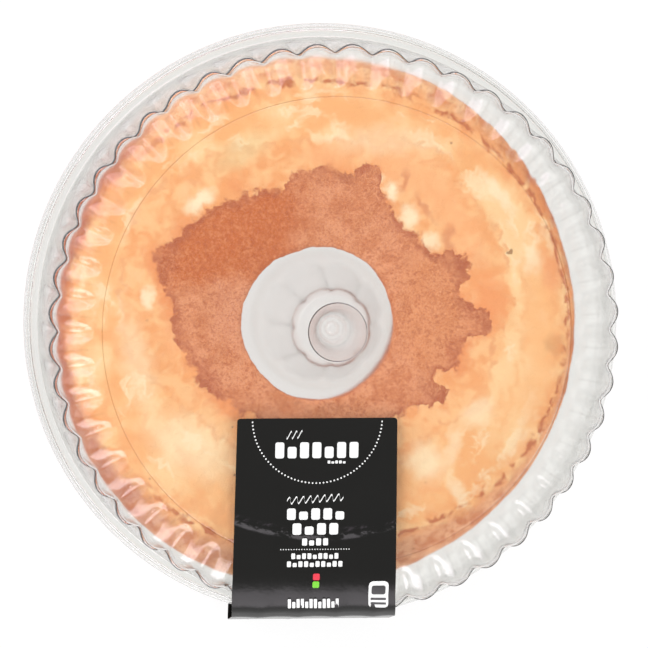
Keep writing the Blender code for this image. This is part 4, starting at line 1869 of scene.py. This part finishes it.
@dataclass(frozen=True)
class Softbox:
    """One plain softbox, aimed at the pack.

    Attributes:
        name: Its name.
        azimuth: Direction from the pack, in degrees from +X.
        low: Elevation of its lower edge, in degrees.
        high: Elevation of its upper edge, in degrees.
        spread: Width in degrees.
        radiance: How bright its face is, beside white.
        colour: Its colour.
        mirrored: Whether it shows in glossy surfaces only; the others light surfaces only.
        distance: Its distance from the pack.
    """

    name: str
    azimuth: float
    low: float
    high: float
    spread: float
    radiance: float
    colour: Colour = (1.0, 1.0, 1.0)
    mirrored: bool = False
    distance: float = 2.4

    def add(self) -> None:
        """Hang the softbox."""
        clear_selection()
        elevation = math.radians((self.low + self.high) / 2.0)
        azimuth = math.radians(self.azimuth)
        way = Vector(
            (
                math.cos(elevation) * math.cos(azimuth),
                math.cos(elevation) * math.sin(azimuth),
                math.sin(elevation),
            )
        )
        bpy.ops.object.light_add(type="AREA", location=way * self.distance)
        lamp = bpy.context.object
        lamp.name = self.name
        lamp.rotation_euler = way.to_track_quat("Z", "Y").to_euler()
        height = 2.0 * self.distance * math.tan(math.radians(self.high - self.low) / 2.0)
        width = 2.0 * self.distance * math.tan(math.radians(self.spread) / 2.0)
        lamp.data.shape = "RECTANGLE"
        lamp.data.size = width
        lamp.data.size_y = height
        lamp.data.energy = 4.0 * width * height * self.radiance
        lamp.data.color = self.colour
        lamp.visible_camera = False
        lamp.visible_diffuse = not self.mirrored
        lamp.visible_glossy = self.mirrored


@dataclass
class Studio:
    """Pale floor, soft lamps, an even backdrop and the camera.

    Attributes:
        floor_size: Side of the square floor.
        floor_glow: How strongly the floor glows.
        camera_place: Where the camera stands.
        camera_aim: What it looks at.
        lens: Its focal length, in millimetres.
    """

    floor_size: float = 8.0
    floor_glow: float = 0.88
    camera_place: Vector = field(default_factory=lambda: Vector((-0.152, 0.1025, 1.81)))
    camera_aim: Vector = field(default_factory=lambda: Vector((0.0008, -0.00096, 0.009)))
    lens: float = 241.6

    def softboxes(self) -> tuple[Softbox, ...]:
        """List the lamps."""
        pinkish = (1.0, 0.80, 1.0)
        plain = (1.0, 0.93, 1.0)
        return (
            Softbox("key_softbox", 152.0, 6.0, 62.0, 56.0, 1.73, (0.97, 0.98, 1.0)),
            Softbox("right_softbox", -20.0, 8.0, 60.0, 60.0, 0.97),
            Softbox("back_softbox", 75.0, 8.0, 50.0, 30.0, 1.2),
            Softbox("front_softbox", -110.0, 8.0, 50.0, 30.0, 1.2),
            Softbox("back_highlight", 112.0, 8.0, 60.0, 62.0, 1.25, pinkish, mirrored=True),
            Softbox("back_highlight_core", 112.0, 14.0, 54.0, 50.0, 1.25, pinkish, mirrored=True),
            Softbox("front_highlight", 250.0, 10.0, 58.0, 70.0, 1.4, plain, mirrored=True),
            Softbox("front_highlight_core", 250.0, 15.0, 52.0, 58.0, 1.4, plain, mirrored=True),
        )

    def floor(self) -> None:
        """Lay the pale floor, a matte panel that glows a little like a light table."""
        clear_selection()
        bpy.ops.mesh.primitive_plane_add(size=self.floor_size)
        plane = bpy.context.object
        plane.name = "pale_floor"
        graph = Graph("pale_floor")
        place = graph.place_mm(Vector())
        grain = graph.noise(place, 3.0, detail=2.0)
        tint = graph.mix(grain, (0.10, 0.10, 0.10), (0.11, 0.11, 0.11))
        graph.feed(graph.shader.inputs["Base Color"], tint)
        graph.shader.inputs["Roughness"].default_value = 0.9
        graph.shader.inputs["Emission Color"].default_value = (1.0, 1.0, 1.0, 1.0)
        graph.shader.inputs["Emission Strength"].default_value = self.floor_glow
        plane.data.materials.append(graph.material)

    def backdrop(self) -> None:
        """Light the room: brighter near the horizon than overhead."""
        world = bpy.data.worlds.new("studio")
        bpy.context.scene.world = world
        world.use_nodes = True
        nodes, links = world.node_tree.nodes, world.node_tree.links
        way = nodes.new("ShaderNodeTexCoord").outputs["Generated"]
        axes = nodes.new("ShaderNodeSeparateXYZ")
        links.new(way, axes.inputs[0])
        ramp = nodes.new("ShaderNodeMapRange")
        ramp.interpolation_type = "SMOOTHSTEP"
        links.new(axes.outputs[2], ramp.inputs["Value"])
        ramp.inputs["From Min"].default_value = 0.1
        ramp.inputs["From Max"].default_value = 0.95
        ramp.inputs["To Min"].default_value = 0.95
        ramp.inputs["To Max"].default_value = 0.62
        background = nodes["Background"]
        background.inputs["Color"].default_value = (1.0, 1.0, 1.0, 1.0)
        links.new(ramp.outputs[0], background.inputs["Strength"])

    def camera(self) -> None:
        """Set up the camera nearly straight above the pack, with +Y upwards in its view."""
        clear_selection()
        bpy.ops.object.camera_add(location=self.camera_place)
        camera = bpy.context.object
        camera.name = "camera"
        forward = (self.camera_aim - self.camera_place).normalized()
        right = forward.cross(Vector((0.0, 1.0, 0.0))).normalized()
        up = right.cross(forward)
        turned = Matrix((right, up, -forward)).transposed()
        camera.rotation_euler = turned.to_euler()
        camera.data.lens = self.lens
        camera.data.sensor_width = 36.0
        camera.data.clip_start = 0.05
        camera.data.clip_end = 50.0
        bpy.context.scene.camera = camera

    def build(self) -> None:
        """Set up the whole studio."""
        self.floor()
        for softbox in self.softboxes():
            softbox.add()
        self.backdrop()
        self.camera()
        bpy.context.scene.view_settings.view_transform = "Standard"
        LOG.info("studio: %d softboxes", len(self.softboxes()))


def main() -> None:
    """Build the pack piece by piece, then the studio."""
    logging.basicConfig(level=logging.INFO, format="%(name)s: %(message)s")
    dome_low, dome_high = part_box("dome")
    _, tray_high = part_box("base_tray")
    cake_low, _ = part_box("cake")
    label_low, label_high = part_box("label")
    dome = Dome(dome_high.x, dome_low.z, dome_high.z)
    tray = BaseTray(tray_high.x - TRAY_INSET, TRAY_SKIRT_BOTTOM, tray_high.z)
    cake = RingCake(CAKE_CENTRE, cake_low.z, CAKE_TOP, CAKE_SIDE_RADIUS)
    path = LabelPath(dome, label_high.y, label_low.z)
    label = Label(path)
    tray.dress()
    cake.dress()
    dome.dress()
    label.dress()
    Print(label).dress()
    Studio().build()


if __name__ == "__main__":
    main()
